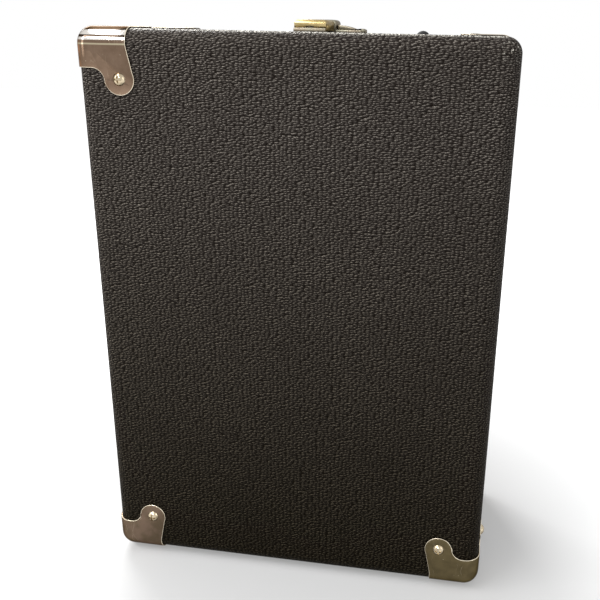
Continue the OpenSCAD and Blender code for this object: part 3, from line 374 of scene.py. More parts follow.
def ring_band(bm, centre, inner, outer, first, last, y, depth):
    """Flat printed arc round y on the XZ plane, from the angle first to last, in degrees."""
    steps = 48
    closed = last - first == 360
    section = ((inner, y + depth), (outer, y + depth), (outer, y - depth), (inner, y - depth))
    rows = []
    for i in range(steps if closed else steps + 1):
        way = panel_way(math.radians(first + (last - first) * i / steps))
        rows.append([(centre.x + r * way.x, level, centre.z + r * way.z) for r, level in section])
    loft(bm, rows, closed)


def ride(piece, body):
    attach(piece, body)


def soften(node, body, slot, width, material, edge=None):
    """A copy of a solid with small round edges, which stands for it; edge is their material."""
    bm = node_mesh(node)
    bmesh.ops.remove_doubles(bm, verts=bm.verts, dist=0.25 * MM if edge else 0.001 * MM)
    bmesh.ops.dissolve_limit(bm, angle_limit=math.radians(0.6), verts=bm.verts, edges=bm.edges)
    piece = add_piece(node + ("_moulded" if slot == "bakelite" else "_pressed"), bm, material)
    bevel = piece.modifiers.new("Round edges", "BEVEL")
    bevel.width = width
    bevel.segments = 2
    bevel.limit_method = "ANGLE"
    bevel.angle_limit = math.radians(SHARP)
    bevel.use_clamp_overlap = not edge
    if edge:
        piece.data.materials.append(edge)
        bevel.material = 1
    settle(piece)
    shade(piece, SHARP)
    ride(piece, body)
    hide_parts(node)


def paint(material, *nodes):
    """Gives solids of the frame a material."""
    for node in nodes:
        for slot in frame["nodes"][node].material_slots:
            slot.material = material


# ---------------- settings

def colour_prop(name, description, default):
    return bpy.props.FloatVectorProperty(name=name, description=description, default=default,
                                         subtype="COLOR", size=3, min=0.0, max=1.0)


def length_prop(name, description, default):
    return bpy.props.FloatProperty(name=name, description=description, default=default,
                                   subtype="DISTANCE", unit="LENGTH", min=0.0, precision=5)


def power_prop(name, description, default):
    return bpy.props.FloatProperty(name=name, description=description, default=default,
                                   subtype="POWER", unit="POWER", min=0.0)


class TesterCaseSettings(bpy.types.PropertyGroup):
    """Covering and fittings of the case."""
    vinyl: colour_prop("Vinyl", "Colour of the covering between its creases", (0.036, 0.030, 0.0265))
    # Painted shade: the colour in the creases of the grain
    crease: colour_prop("Crease", "Colour in the creases of the covering", (0.008, 0.0055, 0.004))
    # The crest colour is a painted highlight on the upper slopes of the grain's pebbles
    crest: colour_prop("Crest", "Colour of the rubbed crests of the grain", (0.42, 0.38, 0.33))
    grain: length_prop("Grain", "Height of one pebble of the grain", 1.15 * MM)
    grain_depth: length_prop("Grain depth", "Depth of the creases", 0.68 * MM)
    nickel: colour_prop("Nickel", "Aged nickel of the guards", (0.205, 0.14, 0.098))
    catch: colour_prop("Catch", "Warm plating of the catch", (0.31, 0.29, 0.22))
    edge_round: length_prop("Edge rounding", "Rounding of the edges of pressed plates", 0.35 * MM)


class TesterPanelSettings(bpy.types.PropertyGroup):
    """Panel, print and controls."""
    paint: colour_prop("Paint", "Paint of the panel", RECORD_COLOURS["panel_paint"])
    ink: colour_prop("Ink", "Index lines of the knobs", (0.78, 0.77, 0.73))
    dial_ink: colour_prop("Dial ink", "Print on the meter's card", (0.012, 0.012, 0.013))
    digit: length_prop("Digit height", "Height of the numbers round the knobs", 3.6 * MM)
    print_depth: length_prop("Print depth", "How far print stands over the panel", 0.05 * MM)


class TesterStageSettings(bpy.types.PropertyGroup):
    """Camera, floor and lamps."""
    floor: colour_prop("Floor", "Colour of the floor", (0.45, 0.45, 0.45))
    lens: bpy.props.FloatProperty(name="Lens", description="Focal length in millimetres",
                                  default=45.167, min=10.0)
    key_power: power_prop("Front lamp", "Power of the lamp before the case", 8.0)
    top_power: power_prop("Top lamp", "Power of the lamp over the case", 6.0)
    back_power: power_prop("Back lamp", "Power of the lamp that casts the shadow", 16.0)
    fill_power: power_prop("Fill lamps", "Power of the two side lamps", 1.6)


# ---------------- materials of the case

def tinted(colour, factor, lift=0.0):
    """A colour made lighter or darker."""
    return tuple(min(1.0, factor * c + lift) for c in colour)


def inside_mask(look):
    """1 on the inner faces of the shells and 0 outside."""
    wall, slack, rim = 9 * MM, 0.4 * MM, 2.5 * MM
    x, y, z = look.axes()
    half = [length - wall + slack for length in (SHELL_HIGH - CASE_LOW) / 2]
    return ((abs(x - CASE_MID.x) < half[0]) * (abs(z - CASE_MID.z) < half[2])
            * (abs(y - CASE_MID.y) < half[1] + rim))


def vinyl_sheet(look, x, y, z):
    """Where a point lies on the sheet: across and up on the sides, across and back on the ends."""
    fold, gap = 2.9 * MM, 0.6 * MM
    ends = (abs(z - CASE_MID.z) > SHELL_HEIGHT / 2 - fold) * (abs(y - SEAM) > gap)
    front = y < SEAM
    depth = (y - LID_LOW.y) * front + (SHELL_HIGH.y - y) * (1.0 - front)
    across = x + depth * ((x > 0.0) * 2.0 - 1.0) * (1.0 - ends)
    return look.node("ShaderNodeCombineXYZ", None, {0: across, 1: z * (1.0 - ends) + y * ends})[0]


def rubbed_mask(look, y, z):
    """Worn specks at the corner that has lost its guard, and painted highlight specks along the lid's top edge."""
    corner = (SHELL_HIGH.x - 5 * MM, LID_LOW.y + 2 * MM, SHELL_HIGH.z - 8 * MM)
    away = look.vector("DISTANCE", look.place, corner, "Value")
    speck = look.dots(560.0, 0.14, 0.36, look.warped(500.0, 2 * MM))
    bare = look.spread(away, 3 * MM, 10 * MM, 1.0, 0.0) * look.patches(300.0, 4.0, 0.46, 0.56) * speck
    # Painted highlight: bright specks along the rounding of the lid's top edge
    glint = look.patches(950.0, 2.0, 0.44, 0.58, look.stretch((1.0, 0.3, 0.3)))
    edge = look.spread(z, SHELL_HIGH.z - 1.2 * MM, SHELL_HIGH.z - 0.2 * MM) * (y < LID_LOW.y + 12 * MM)
    return bare.most(glint * edge * 0.85)


def vinyl_look(case):
    """Grained covering: low pebbles in wavy rows across the case, with painted shade in the creases and towards
    the bottom, and painted highlights on the crests.
    """
    look = Look("vinyl_covering", IOR=1.46, Specular_IOR_Level=0.03)
    scale = 1.0 / case.grain
    x, y, z = look.axes()
    rows = look.warped(75.0, 2.4 * MM, vinyl_sheet(look, x, y, z))
    flat = look.stretch((0.42, 1.0, 0.0), look.warped(380.0, 0.9 * MM, rows))
    pebble = look.pebbles(scale, flat)
    # The same pebbles shifted up a little; their difference finds each pebble's upper slope for the painted
    # highlight
    above = look.pebbles(scale, look.vector("ADD", flat, (-0.14 * case.grain, 0.3 * case.grain, 0.0)))
    fine = look.noise(scale * 2.6, 3.0)
    # low_down is 1 at the bottom and 0 high up; it paints shade towards the bottom of the case
    low_down = look.spread(z, SHELL_LOW.z, SHELL_LOW.z + 0.85 * SHELL_HEIGHT, 1.0, 0.0)
    # Painted highlight on the upper slope of each pebble, as if lit from above, warmer towards the bottom
    patch = look.spread(look.noise(14.0, 3.0), 0.3, 0.7, 0.75, 1.0)
    crest = look.spread(pebble - above, 0.07, 0.36) * look.spread(fine, 0.36, 0.6) * patch
    dust_and_highlight = look.mix(low_down, tuple(case.crest), (0.34, 0.28, 0.18))
    inner = inside_mask(look)
    # The crease colour between the pebbles is painted shade in the creases of the grain
    colour = look.layers(tuple(case.crease), (look.spread(pebble, 0.2, 0.8), tuple(case.vinyl)),
                         # Painted shade: the covering darker towards the bottom
                         (low_down * 0.96, (0.0035, 0.0024, 0.0004)),
                         # Painted highlight on the crests, fainter towards the bottom
                         (crest * (1.0 - low_down * 0.66) * 0.8, dust_and_highlight),
                         # Worn specks at the bare corner, and painted highlight specks along the lid's top edge
                         (rubbed_mask(look, y, z), (0.74, 0.71, 0.63)),
                         (inner, (0.022, 0.021, 0.02)))
    return look.finish(colour, look.spread(pebble, 0.0, 1.0, 0.75, 0.42).most(inner * 0.85),
                       look.bump((pebble + fine * 0.4) * (1.0 - inner), case.grain_depth))


def weathered(look, colour, dark, low):
    """Painted reflection on a guard's nickel: its own colour high up, a darker, yellower low colour near the
    floor, bluer on the left, and a copper tint on the left rounding of the top left guard.
    """
    x, y, z = look.axes()
    height = look.spread(z, SHELL_LOW.z + 0.1, SHELL_LOW.z + 0.28)
    left = (low[0] * 1.04, low[1] * 0.93, low[2] * 1.3)
    colour = look.mix(height, look.mix(look.spread(x, -0.05, 0.05), left, low), colour)
    dark = look.mix(height, tinted(low, 0.5), dark)
    # Painted reflection: a copper tint on the left rounding of the top left guard
    copper_reflection = (look.spread(x, SHELL_LOW.x + 2 * MM, SHELL_LOW.x + 5 * MM, 1.0, 0.0) * height
              * (y < LID_LOW.y + 22 * MM) * look.spread(z, SHELL_HIGH.z - 6 * MM, SHELL_HIGH.z - 9 * MM))
    return look.mix(copper_reflection * look.patches(160.0, 3.0, 0.25, 0.55), colour, (0.55, 0.30, 0.18)), dark


def fold_marks(look, tone):
    """Painted reflections on the fold of the top guards: two bright lines, dark above and between them, and a pale
    yellow lip.
    """
    wander = look.noise(70.0, 2.0) * 0.6 * MM - 0.3 * MM
    down = SHELL_HIGH.z + 1.1 * MM - look.axes()[2] + wander

    def band(start, full, fade, end):
        return look.spread(down, start * MM, full * MM) * look.spread(down, end * MM, fade * MM)

    bright = band(2.4, 2.8, 5.2, 5.5).most(band(6.7, 7.0, 8.3, 8.6))
    return look.layers(tone, (look.spread(down, 7.2 * MM, 6.8 * MM) * 0.85, (0.03, 0.023, 0.018)),
                       (bright * 0.9, (0.86, 0.82, 0.76)),
                       (band(10.2, 10.5, 11.1, 11.5) * 0.6, (0.66, 0.60, 0.42)))


def plated_look(name, colour, dark, rough=0.07, tarnish=0.5, scratch=0.25, pits=0.5, low=None):
    """Plated metal with cloudy tarnish, pits and hair scratches; low is its colour near the floor, a painted
    reflection, and with it the top guards get painted reflection bands.
    """
    look = Look(name, Metallic=1.0, Specular_Tint=(0.42, 0.41, 0.40, 1.0))
    if low:
        colour, dark = weathered(look, colour, dark, low)
    cloud = look.patches(120.0, 5.0, 0.40, 0.62)
    drawn = look.stretch((1.0, 0.7, 0.16), look.warped(90.0, 3 * MM))
    hair = look.cells(220.0, "DISTANCE_TO_EDGE", drawn)
    line = look.spread(hair, 0.0, 0.012, 1.0, 0.0) * look.patches(70.0, 2.0, 0.52, 0.6)
    pit = look.dots(520.0, 0.0, 0.09) * look.patches(110.0, 2.0, 0.5, 0.62)
    spot = look.dots(330.0, 0.05, 0.13) * look.patches(85.0, 2.0, 0.55, 0.62)
    tone = look.layers(colour, (cloud * tarnish, dark), (pit * pits, (0.03, 0.02, 0.012)),
                       ((line * scratch).most(spot * 0.7), (0.62, 0.54, 0.4)))
    # Painted reflection bands on the fold of the top guards
    if low:
        tone = fold_marks(look, tone)
    dented = look.bump(look.noise(48.0, 2.0), 0.3 * MM)
    return look.finish(tone, look.spread(cloud, 0.0, 1.0, rough, rough + 0.1) + line * 0.2,
                       look.bump(line + pit, -0.02 * MM, dented))


def steel_look(name, colour, rough=0.22, grain=(1.0, 1.0, 0.06)):
    """Drawn or turned steel with a fine grain."""
    look = Look(name, Metallic=1.0)
    lines = look.noise(900.0, 3.0, look.stretch(grain))
    tone = look.mix(look.patches(150.0, 4.0, 0.5, 0.75) * 0.6, colour, tinted(colour, 0.3))
    return look.finish(tone, look.spread(lines, 0.3, 0.7, rough, rough + 0.16),
                       look.bump(lines, 0.02 * MM))


def moulded_look(name, colour, rough=0.35, flow=0.25, peel=0.03, coat=0.0, light=1.5):
    """Moulded plastic, rubber or bakelite: faint flow marks, fine skin and dust in the hollows."""
    look = Look(name, Coat_Weight=coat, IOR=1.5)
    streak = look.patches(34.0, 5.0, 0.35, 0.7, look.stretch((1.0, 1.0, 0.4), look.warped(30.0, 20 * MM)))
    skin = look.noise(1500.0, 2.0)
    dust_and_highlight = look.patches(240.0, 5.0, 0.56, 0.76)
    tone = look.layers(colour, (streak * flow, tinted(colour, light, 0.004)),
                       (dust_and_highlight * 0.14, (0.30, 0.28, 0.25)))
    return look.finish(tone, look.spread(skin + dust_and_highlight, 0.4, 1.4, rough, rough + 0.22),
                       look.bump(skin, peel * MM))


def cloth_look(name, colour, thread=0.55 * MM):
    """Plain-woven lining: over and under threads with slubs."""
    look = Look(name, Sheen_Weight=0.25)
    x, _, z = look.axes()
    pitch = 2 * math.pi / thread
    over = look.spread((x * pitch).sine() * (z * pitch).sine(), -1.0, 1.0)
    slub = look.noise(420.0, 3.0, look.stretch((0.1, 1.0, 1.0)))
    tone = look.layers(tinted(colour, 0.55), (over * 0.6, colour),
                       (look.spread(slub, 0.45, 0.75) * 0.4, tinted(colour, 1.5)))
    return look.finish(tone, look.spread(over, 0.0, 1.0, 0.95, 0.8),
                       look.bump(over + slub * 0.6, 0.12 * MM))


def board_look(name, colour):
    """Pressed fibreboard or paper board with short fibres."""
    look = Look(name)
    fibre = look.noise(700.0, 4.0, look.stretch((0.25, 1.0, 1.0), look.warped(260.0, 1.5 * MM)))
    tone = look.layers(colour, (look.spread(fibre, 0.4, 0.65) * 0.5, tinted(colour, 0.6)),
                       (look.patches(14.0, 4.0, 0.45, 0.75) * 0.4, tinted(colour, 0.75)))
    return look.finish(tone, look.spread(fibre, 0.3, 0.7, 0.6, 0.85), look.bump(fibre, 0.06 * MM))


def wood_look(name, colour):
    """Straight-grained softwood along the height of the case."""
    look = Look(name)
    rings = look.noise(90.0, 3.0, look.stretch((1.0, 1.0, 0.04), look.warped(12.0, 10 * MM)))
    pores = look.noise(1300.0, 2.0, look.stretch((1.0, 1.0, 0.03)))
    tone = look.mix(look.spread(rings, 0.35, 0.65), tinted(colour, 0.62), colour)
    return look.finish(tone, look.spread(pores, 0.3, 0.7, 0.5, 0.75),
                       look.bump(rings + pores * 0.5, 0.08 * MM))


def enamel_look(panel):
    """Hammered enamel of the panel, chipped here and there."""
    look = Look("panel_enamel", Coat_Weight=0.3, Coat_Roughness=0.2)
    colour = tuple(panel.paint)
    dimple = look.cells(340.0, "SMOOTH_F1", look.warped(200.0, 1.5 * MM))
    cloud = look.noise(24.0, 4.0)
    chip = look.dots(60.0, 0.0, 0.022) * look.patches(35.0, 1.0, 0.6, 0.64)
    tone = look.layers(tinted(colour, 1.15), (look.spread(dimple, 0.0, 0.7), colour),
                       (look.spread(cloud, 0.4, 0.7) * 0.3, tinted(colour, 0.8)),
                       (chip, (0.42, 0.42, 0.41)))
    return look.finish(tone, look.spread(cloud, 0.3, 0.7, 0.36, 0.5),
                       look.bump(dimple + chip * -0.5, 0.12 * MM))


def clear_look(name, colour, rough, through):
    """Clear or tinted moulding with faint waves."""
    look = Look(name, Transmission_Weight=through, IOR=1.49)
    scuff = look.patches(900.0, 2.0, 0.6, 0.8, look.stretch((1.0, 1.0, 0.1)))
    tone = look.mix(scuff * 0.15, colour, tinted(colour, 1.25, 0.02))
    return look.finish(tone, look.spread(scuff, 0.0, 1.0, rough, rough + 0.2),
                       look.bump(look.noise(70.0, 2.0), 0.04 * MM))


def ink_look(name, colour):
    """Screened ink, thin where it has worn."""
    look = Look(name)
    worn = look.patches(380.0, 4.0, 0.56, 0.72)
    tone = look.mix(worn * 0.45, colour, tinted(colour, 0.55))
    return look.finish(tone, look.spread(worn, 0.0, 1.0, 0.45, 0.7), look.bump(worn, -0.02 * MM))


def resin_look(name, colour):
    """Varnished paper-resin board of the circuit, mottled, with a fine weave."""
    look = Look(name, Coat_Weight=0.4)
    weave = look.noise(1200.0, 3.0, look.stretch((1.0, 1.0, 0.3)))
    tone = look.layers(colour, (look.patches(45.0, 4.0, 0.4, 0.65), tinted(colour, 0.6)),
                       (look.spread(weave, 0.5, 0.7) * 0.3, (0.35, 0.26, 0.14)))
    return look.finish(tone, look.spread(weave, 0.3, 0.7, 0.35, 0.5), look.bump(weave, 0.03 * MM))


# ---------------- repeated fittings

def head_sizes(diameter, neck, depth, crown, slot_width, slot_length, cross):
    """Sizes of a screw head, in millimetres."""
    sizes = {"Head_Diameter": diameter, "Neck_Diameter": neck, "Depth": depth, "Crown": crown,
             "Slot_Width": slot_width, "Slot_Length": slot_length}
    return {**{key: value * MM for key, value in sizes.items()}, "Cross": cross}


def screw_recipe():
    """A screw head on every point: a cone in its countersink or a low crown, with a slot or a cross."""
    usual = head_sizes(6, 3, 1, 0.8, 0.9, 5, True)
    recipe = Recipe("Screw Heads", {key.replace("_", " "): value for key, value in usual.items()})
    given = recipe.given
    radius, crown_height = given["Head Diameter"] * 0.5, given["Crown"]
    cone = recipe.solid("Cone", Vertices=32, Radius_Top=radius,
                        Radius_Bottom=given["Neck Diameter"] * 0.5, Depth=given["Depth"])
    cone = recipe.moved(cone, translation=recipe.xyz(0.0, 0.0, -given["Depth"]))
    crown = recipe.solid("UVSphere", Segments=32, Rings=16, Radius=1.0)
    crown = recipe.moved(crown, scale=recipe.xyz(radius * 0.998, radius * 0.998, crown_height))
    head = recipe.boolean("UNION", {"Mesh 2": [cone, crown]})
    bar = recipe.solid("Cube", Size=recipe.xyz(given["Slot Length"], given["Slot Width"],
                                               crown_height * 2.0))
    bar = recipe.moved(bar, translation=recipe.xyz(0.0, 0.0, crown_height * 1.2))
    across = recipe.moved(bar, rotation=(0.0, 0.0, math.pi / 2))
    second = recipe.node("GeometryNodeSwitch", {"input_type": "GEOMETRY"},
                         {"Switch": given["Cross"], "True": across})[0]
    head = recipe.boolean("DIFFERENCE", {"Mesh 1": head, "Mesh 2": [bar, second]})
    spin = recipe.node("FunctionNodeAxisAngleToRotation", None,
                       {"Axis": (0.0, 0.0, 1.0), "Angle": recipe.attribute("turn", "FLOAT")})[0]
    aim = recipe.aimed(recipe.attribute("facing", "FLOAT_VECTOR"), axis="Z")
    aim = recipe.node("FunctionNodeRotateRotation", {"rotation_space": "LOCAL"},
                      {"Rotation": aim, "Rotate By": spin})[0]
    return recipe.finish(given["Geometry"], head, aim)


def screw_points(name, places, seed):
    """Points with the way that each screw faces and how far its slot has turned."""
    turns = random.Random(seed)
    mesh = bpy.data.meshes.new(name)
    mesh.from_pydata([place for place, _ in places], [], [])
    mesh.attributes.new("facing", "FLOAT_VECTOR", "POINT")
    mesh.attributes.new("turn", "FLOAT", "POINT")
    for i, (_, way) in enumerate(places):
        mesh.attributes["facing"].data[i].vector = way
        mesh.attributes["turn"].data[i].value = turns.uniform(0.0, math.pi)
    return link(name, mesh)


def tick_recipe():
    """Bars on an arc, such as the marks of a scale."""
    recipe = Recipe("Scale Ticks", {
        "Radius": 20 * MM, "Start": 0.0, "Sweep": 1.0, "Count": 11, "Tick Length": 2 * MM,
        "Tick Width": 0.4 * MM, "Tick Height": 0.1 * MM})
    given = recipe.given
    arc = recipe.node("GeometryNodeCurveArc", {"mode": "RADIUS"}, {
        "Resolution": given["Count"], "Radius": given["Radius"], "Start Angle": given["Start"],
        "Sweep Angle": given["Sweep"]})["Curve"]
    points = recipe.node("GeometryNodeCurveToPoints", {"mode": "EVALUATED"}, {"Curve": arc})
    bar = recipe.solid("Cube", Size=recipe.xyz(given["Tick Width"], given["Tick Length"],
                                               given["Tick Height"]))
    return recipe.finish(points["Points"], bar, recipe.aimed(points["Tangent"], axis="X", pivot_axis="Z"))


def stitch_recipe():
    """Stitches along the edges of a mesh path."""
    recipe = Recipe("Stitches", {"Pitch": 4 * MM, "Stitch Length": 3 * MM, "Thread Diameter": 0.5 * MM})
    given = recipe.given
    path = recipe.node("GeometryNodeMeshToCurve", None, {"Mesh": given["Geometry"]})[0]
    points = recipe.node("GeometryNodeCurveToPoints", {"mode": "LENGTH"},
                         {"Curve": path, "Length": given["Pitch"]})
    thread = given["Thread Diameter"]
    bead = recipe.solid("UVSphere", Segments=8, Rings=6, Radius=0.5)
    bead = recipe.moved(bead, scale=recipe.xyz(given["Stitch Length"], thread * 1.5, thread))
    return recipe.finish(points["Points"], bead, recipe.aimed(points["Tangent"], axis="X"))


class Print:
    """Thin ink on a flat front at y: ticks, figures and rings that are joined to one mesh."""

    def __init__(self, ink, y, depth):
        self.ink = ink
        self.y = y
        self.depth = depth
        self.recipe = tick_recipe()
        self.marks = []

    def lay(self, piece, centre):
        """Turns a flat mesh from the XY plane to the front, round centre."""
        place = Matrix.Translation((centre.x, self.y, centre.z))
        piece.data.transform(place @ Matrix.Rotation(math.pi / 2, 4, "X"))
        self.marks.append(piece)

    def ticks(self, centre, radius, sweep, count, length, width):
        """Marks from the radius outwards, on an arc that is the same on both sides of the top."""
        piece = link("ticks", bpy.data.meshes.new("ticks"))
        self.recipe.apply(piece, Radius=radius + length / 2, Start=math.radians(90 - sweep / 2),
                          Sweep=math.radians(sweep), Count=count, Tick_Length=length,
                          Tick_Width=width, Tick_Height=2 * self.depth, Material=self.ink)
        self.lay(piece, centre)

    def figures(self, words, height, centre):
        curve = bpy.data.curves.new("figures", "FONT")
        curve.body = words
        curve.size = height
        curve.extrude = self.depth
        curve.align_x = "CENTER"
        curve.align_y = "CENTER"
        curve.resolution_u = 4
        piece = link("figures", curve)
        bpy.context.view_layer.update()
        depsgraph = bpy.context.evaluated_depsgraph_get()
        mesh = bpy.data.meshes.new_from_object(piece.evaluated_get(depsgraph))
        bpy.data.objects.remove(piece)
        mesh.materials.clear()
        mesh.materials.append(self.ink)
        self.lay(link("figures", mesh), centre)

    def scale_figures(self, centre, radius, sweep, words, height):
        for i, word in enumerate(words):
            angle = math.radians(90 + sweep / 2 - sweep * i / (len(words) - 1))
            self.figures(word, height, centre + panel_way(angle) * radius)

    def bands(self, *sizes):
        """Rings or arcs, each given by its centre, radii and angles."""
        bm = bmesh.new()
        for size in sizes:
            ring_band(bm, *size, self.y, self.depth)
        self.marks.append(add_piece("bands", bm, self.ink))

    def bars(self, left, right, heights, width):
        bm = bmesh.new()
        for z in heights:
            start = Vector((left, self.y + self.depth, z + width / 2))
            thin_box(bm, start, panel_way(0.0), panel_way(math.pi / 2), right - left, width,
                     2 * self.depth)
        self.marks.append(add_piece("bars", bm, self.ink))

    def join(self, name):
        """One mesh object from all the marks, on the base."""
        bm = bmesh.new()
        for piece in self.marks:
            bm.from_mesh(piece.data)
            bpy.data.objects.remove(piece)
        for face in bm.faces:
            face.material_index = 0
        bmesh.ops.remove_doubles(bm, verts=bm.verts, dist=1e-7)
        ride(add_piece(name, bm, self.ink), "base")


# ---------------- operators

def rays_to_background(graph):
    """1 for the camera's own rays and for those that gloss and glass send on."""
    paths = graph.node("ShaderNodeLightPath")
    return paths["Is Camera Ray"].most(paths["Is Glossy Ray"]).most(paths["Is Transmission Ray"])


class TesterOperator:
    bl_options = {"REGISTER", "UNDO"}


class TESTER_OT_stage(TesterOperator, bpy.types.Operator):
    """Sets the camera, the pale floor and the lamps"""
    bl_idname = "tester.stage"
    bl_label = "Stage"

    AIM = Vector((0.0, 0.0, 0.24))
    LAMPS = (("front_lamp", (-0.42, -0.72, 0.97), (1.3, 0.15), "key_power"),
             ("top_lamp", (-0.38, -0.04, 1.05), (1.3, 0.22), "top_power"),
             ("back_lamp", (-0.6, 0.85, 0.95), (0.7, 0.4), "back_power"),
             ("left_lamp", (-1.15, -0.55, 0.6), (0.3, 0.8), "fill_power"),
             ("right_lamp", (1.15, -0.5, 0.7), (0.3, 0.8), "fill_power"))

    def execute(self, context):
        settings = context.scene.tester_stage
        self.set_camera(context.scene, settings.lens)
        self.set_floor(tuple(settings.floor))
        self.set_world(context.scene)
        for name, place, size, power in self.LAMPS:
            self.add_lamp(name, place, size, getattr(settings, power))
        return {"FINISHED"}

    @staticmethod
    def set_camera(scene, lens):
        right = (0.98756, 0.15582, 0.02114)
        up = (-0.07038, 0.31783, 0.94553)
        back = (0.14061, -0.93526, 0.32485)
        data = bpy.data.cameras.new("camera")
        data.lens = lens
        data.sensor_width = 36.0
        data.shift_x = -0.0923
        data.shift_y = -0.0145
        data.clip_start = 0.01
        camera = link("camera", data)
        turn = Matrix((right, up, back)).transposed().to_4x4()
        camera.matrix_world = Matrix.Translation((0.118387, -0.527648, 0.386085)) @ turn
        scene.camera = camera

    @staticmethod
    def set_floor(colour):
        """A paper floor that glows toward white away from the case, for the rays to the background."""
        look = Look("floor_paper", Roughness=0.9)
        tone = look.mix(look.patches(700.0, 3.0, 0.4, 0.7) * 0.05, colour, tinted(colour, 0.95))
        look.tree.links.new(tone.socket, look.surface.made.inputs["Base Color"])
        near, far, dim = 0.17, 0.45, 0.3
        away = look.vector("DISTANCE", look.place, (0.0, 0.0, 0.0), "Value")
        glow = look.node("ShaderNodeEmission", None, {
            "Color": (1.0, 1.0, 1.0, 1.0),
            "Strength": rays_to_background(look) * look.spread(away, near, far, dim, 1.0)})
        both = look.node("ShaderNodeAddShader", None, {0: look.surface["BSDF"], 1: glow[0]})[0]
        look.node("ShaderNodeOutputMaterial", None, {"Surface": both})
        bm = bmesh.new()
        bmesh.ops.create_grid(bm, x_segments=8, y_segments=8, size=4.0)
        add_piece("floor", bm, look.material)

    @staticmethod
    def set_world(scene):
        scene.world = bpy.data.worlds.new("studio")
        scene.world.use_nodes = True
        graph = Graph(scene.world.node_tree)
        graph.tree.nodes.clear()
        light, background = 0.4, 1.0
        strength = rays_to_background(graph) * (background - light) + light
        glow = graph.node("ShaderNodeBackground", None,
                          {"Color": (1.0, 1.0, 1.0, 1.0), "Strength": strength})[0]
        graph.node("ShaderNodeOutputWorld", None, {"Surface": glow})
        scene.view_settings.view_transform = "Standard"

    @classmethod
    def add_lamp(cls, name, place, size, power):
        data = bpy.data.lights.new(name, "AREA")
        data.shape = "RECTANGLE"
        data.size, data.size_y = size
        data.energy = power
        lamp = link(name, data)
        lamp.location = place
        lamp.rotation_euler = (cls.AIM - Vector(place)).to_track_quat("-Z", "Y").to_euler()


class TESTER_OT_covering(TesterOperator, bpy.types.Operator):
    """Covers both halves of the case with grained vinyl"""
    bl_idname = "tester.covering"
    bl_label = "Case covering"

    def execute(self, context):
        paint(vinyl_look(context.scene.tester_case), "lid_shell", "base_shell")
        paint(steel_look("rolled_aluminium", RECORD_COLOURS["bare_aluminium"], 0.3), "base_valance")
        return {"FINISHED"}


class TESTER_OT_guards(TesterOperator, bpy.types.Operator):
    """Presses the corner guards with soft edges, in aged nickel, and plates their screws"""
    bl_idname = "tester.guards"
    bl_label = "Corner guards"

    def execute(self, context):
        case = context.scene.tester_case
        nickel = plated_look("aged_nickel", tuple(case.nickel), (0.115, 0.074, 0.047),
                             # low is the guards' painted reflection colour near the floor
                             low=(0.155, 0.121, 0.062))
        # Painted highlight: the rounded edges of the guards get a much lighter nickel
        edge = plated_look("rubbed_nickel", (0.78, 0.70, 0.56), (0.45, 0.36, 0.24), 0.14, 0.4, 0.1, 0.3)
        screw = plated_look("screw_nickel", (0.62, 0.53, 0.38), (0.25, 0.18, 0.1), 0.12, 0.5, 0.1, 0.5)
        for body in ("lid", "base"):
            soften(body + "_corner_guards", body, "nickel", case.edge_round, nickel, edge)
            self.lower_heads(body, screw)
        return {"FINISHED"}

    @staticmethod
    def lower_heads(body, screw):
        """The screws of the top end have flatter heads than the others."""
        node, flatter = body + "_guard_screws", 0.15
        bm = node_mesh(node)
        plate_top = corners(body + "_corner_guards")[1].z
        for vert in bm.verts:
            if vert.co.z > plate_top:
                vert.co.z = plate_top + (vert.co.z - plate_top) * flatter
        piece = add_piece(node + "_plated", bm, screw, 30.0)
        ride(piece, body)
        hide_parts(node)


class TESTER_OT_catch(TesterOperator, bpy.types.Operator):
    """Plates the catch: hasp, pin, hinge plate, lock and thumb slide"""
    bl_idname = "tester.catch"
    bl_label = "Catch"

    def execute(self, context):
        case = context.scene.tester_case
        gilt = plated_look("warm_plating", tuple(case.catch), (0.24, 0.17, 0.12), 0.3, 0.5, 0.2, 0.15)
        golden = plated_look("golden_plating", (0.56, 0.44, 0.21), (0.30, 0.21, 0.08),
                             0.25, 0.5, 0.2, 0.15)
        for node, body, plating in (("catch_hasp", "hasp", golden), ("catch_plate", "base", gilt),
                                    ("catch_slide", "slide", gilt), ("catch_hinge_plate", "lid", gilt)):
            soften(node, body, "catch_metal", 0.18 * MM, plating)
        paint(steel_look("pin_steel", (0.5, 0.47, 0.42)), "catch_pin", "hinge_pins")
        return {"FINISHED"}


class TESTER_OT_hinges_and_handle(TesterOperator, bpy.types.Operator):
    """Plates the hinges, the handle's brackets and rod, and moulds the grip"""
    bl_idname = "tester.hinges_and_handle"
    bl_label = "Hinges and handle"

    def execute(self, context):
        edge_round = context.scene.tester_case.edge_round * 0.6
        nickel = plated_look("hinge_nickel", (0.40, 0.36, 0.30), (0.19, 0.15, 0.11), 0.2)
        for node, body in (("hinge_base_leaves", "base"), ("hinge_lid_leaves", "lid"),
                           ("handle_brackets", "base")):
            soften(node, body, "nickel", edge_round, nickel)
        paint(nickel, "handle_bail")
        paint(moulded_look("grip_moulding", (0.022, 0.02, 0.019), 0.42, 0.3, 0.06), "handle_grip")
        return {"FINISHED"}


class TESTER_OT_feet(TesterOperator, bpy.types.Operator):
    """Moulds the rubber feet and the bumper"""
    bl_idname = "tester.feet"
    bl_label = "Feet"

    def execute(self, context):
        rubber = moulded_look("foot_rubber", (0.014, 0.0135, 0.013), 0.62, 0.4, 0.08)
        paint(rubber, "end_feet", "back_feet")
        paint(moulded_look("bumper_rubber", (0.003, 0.003, 0.003), 0.8, 0.3, 0.05), "top_bumper")
        return {"FINISHED"}


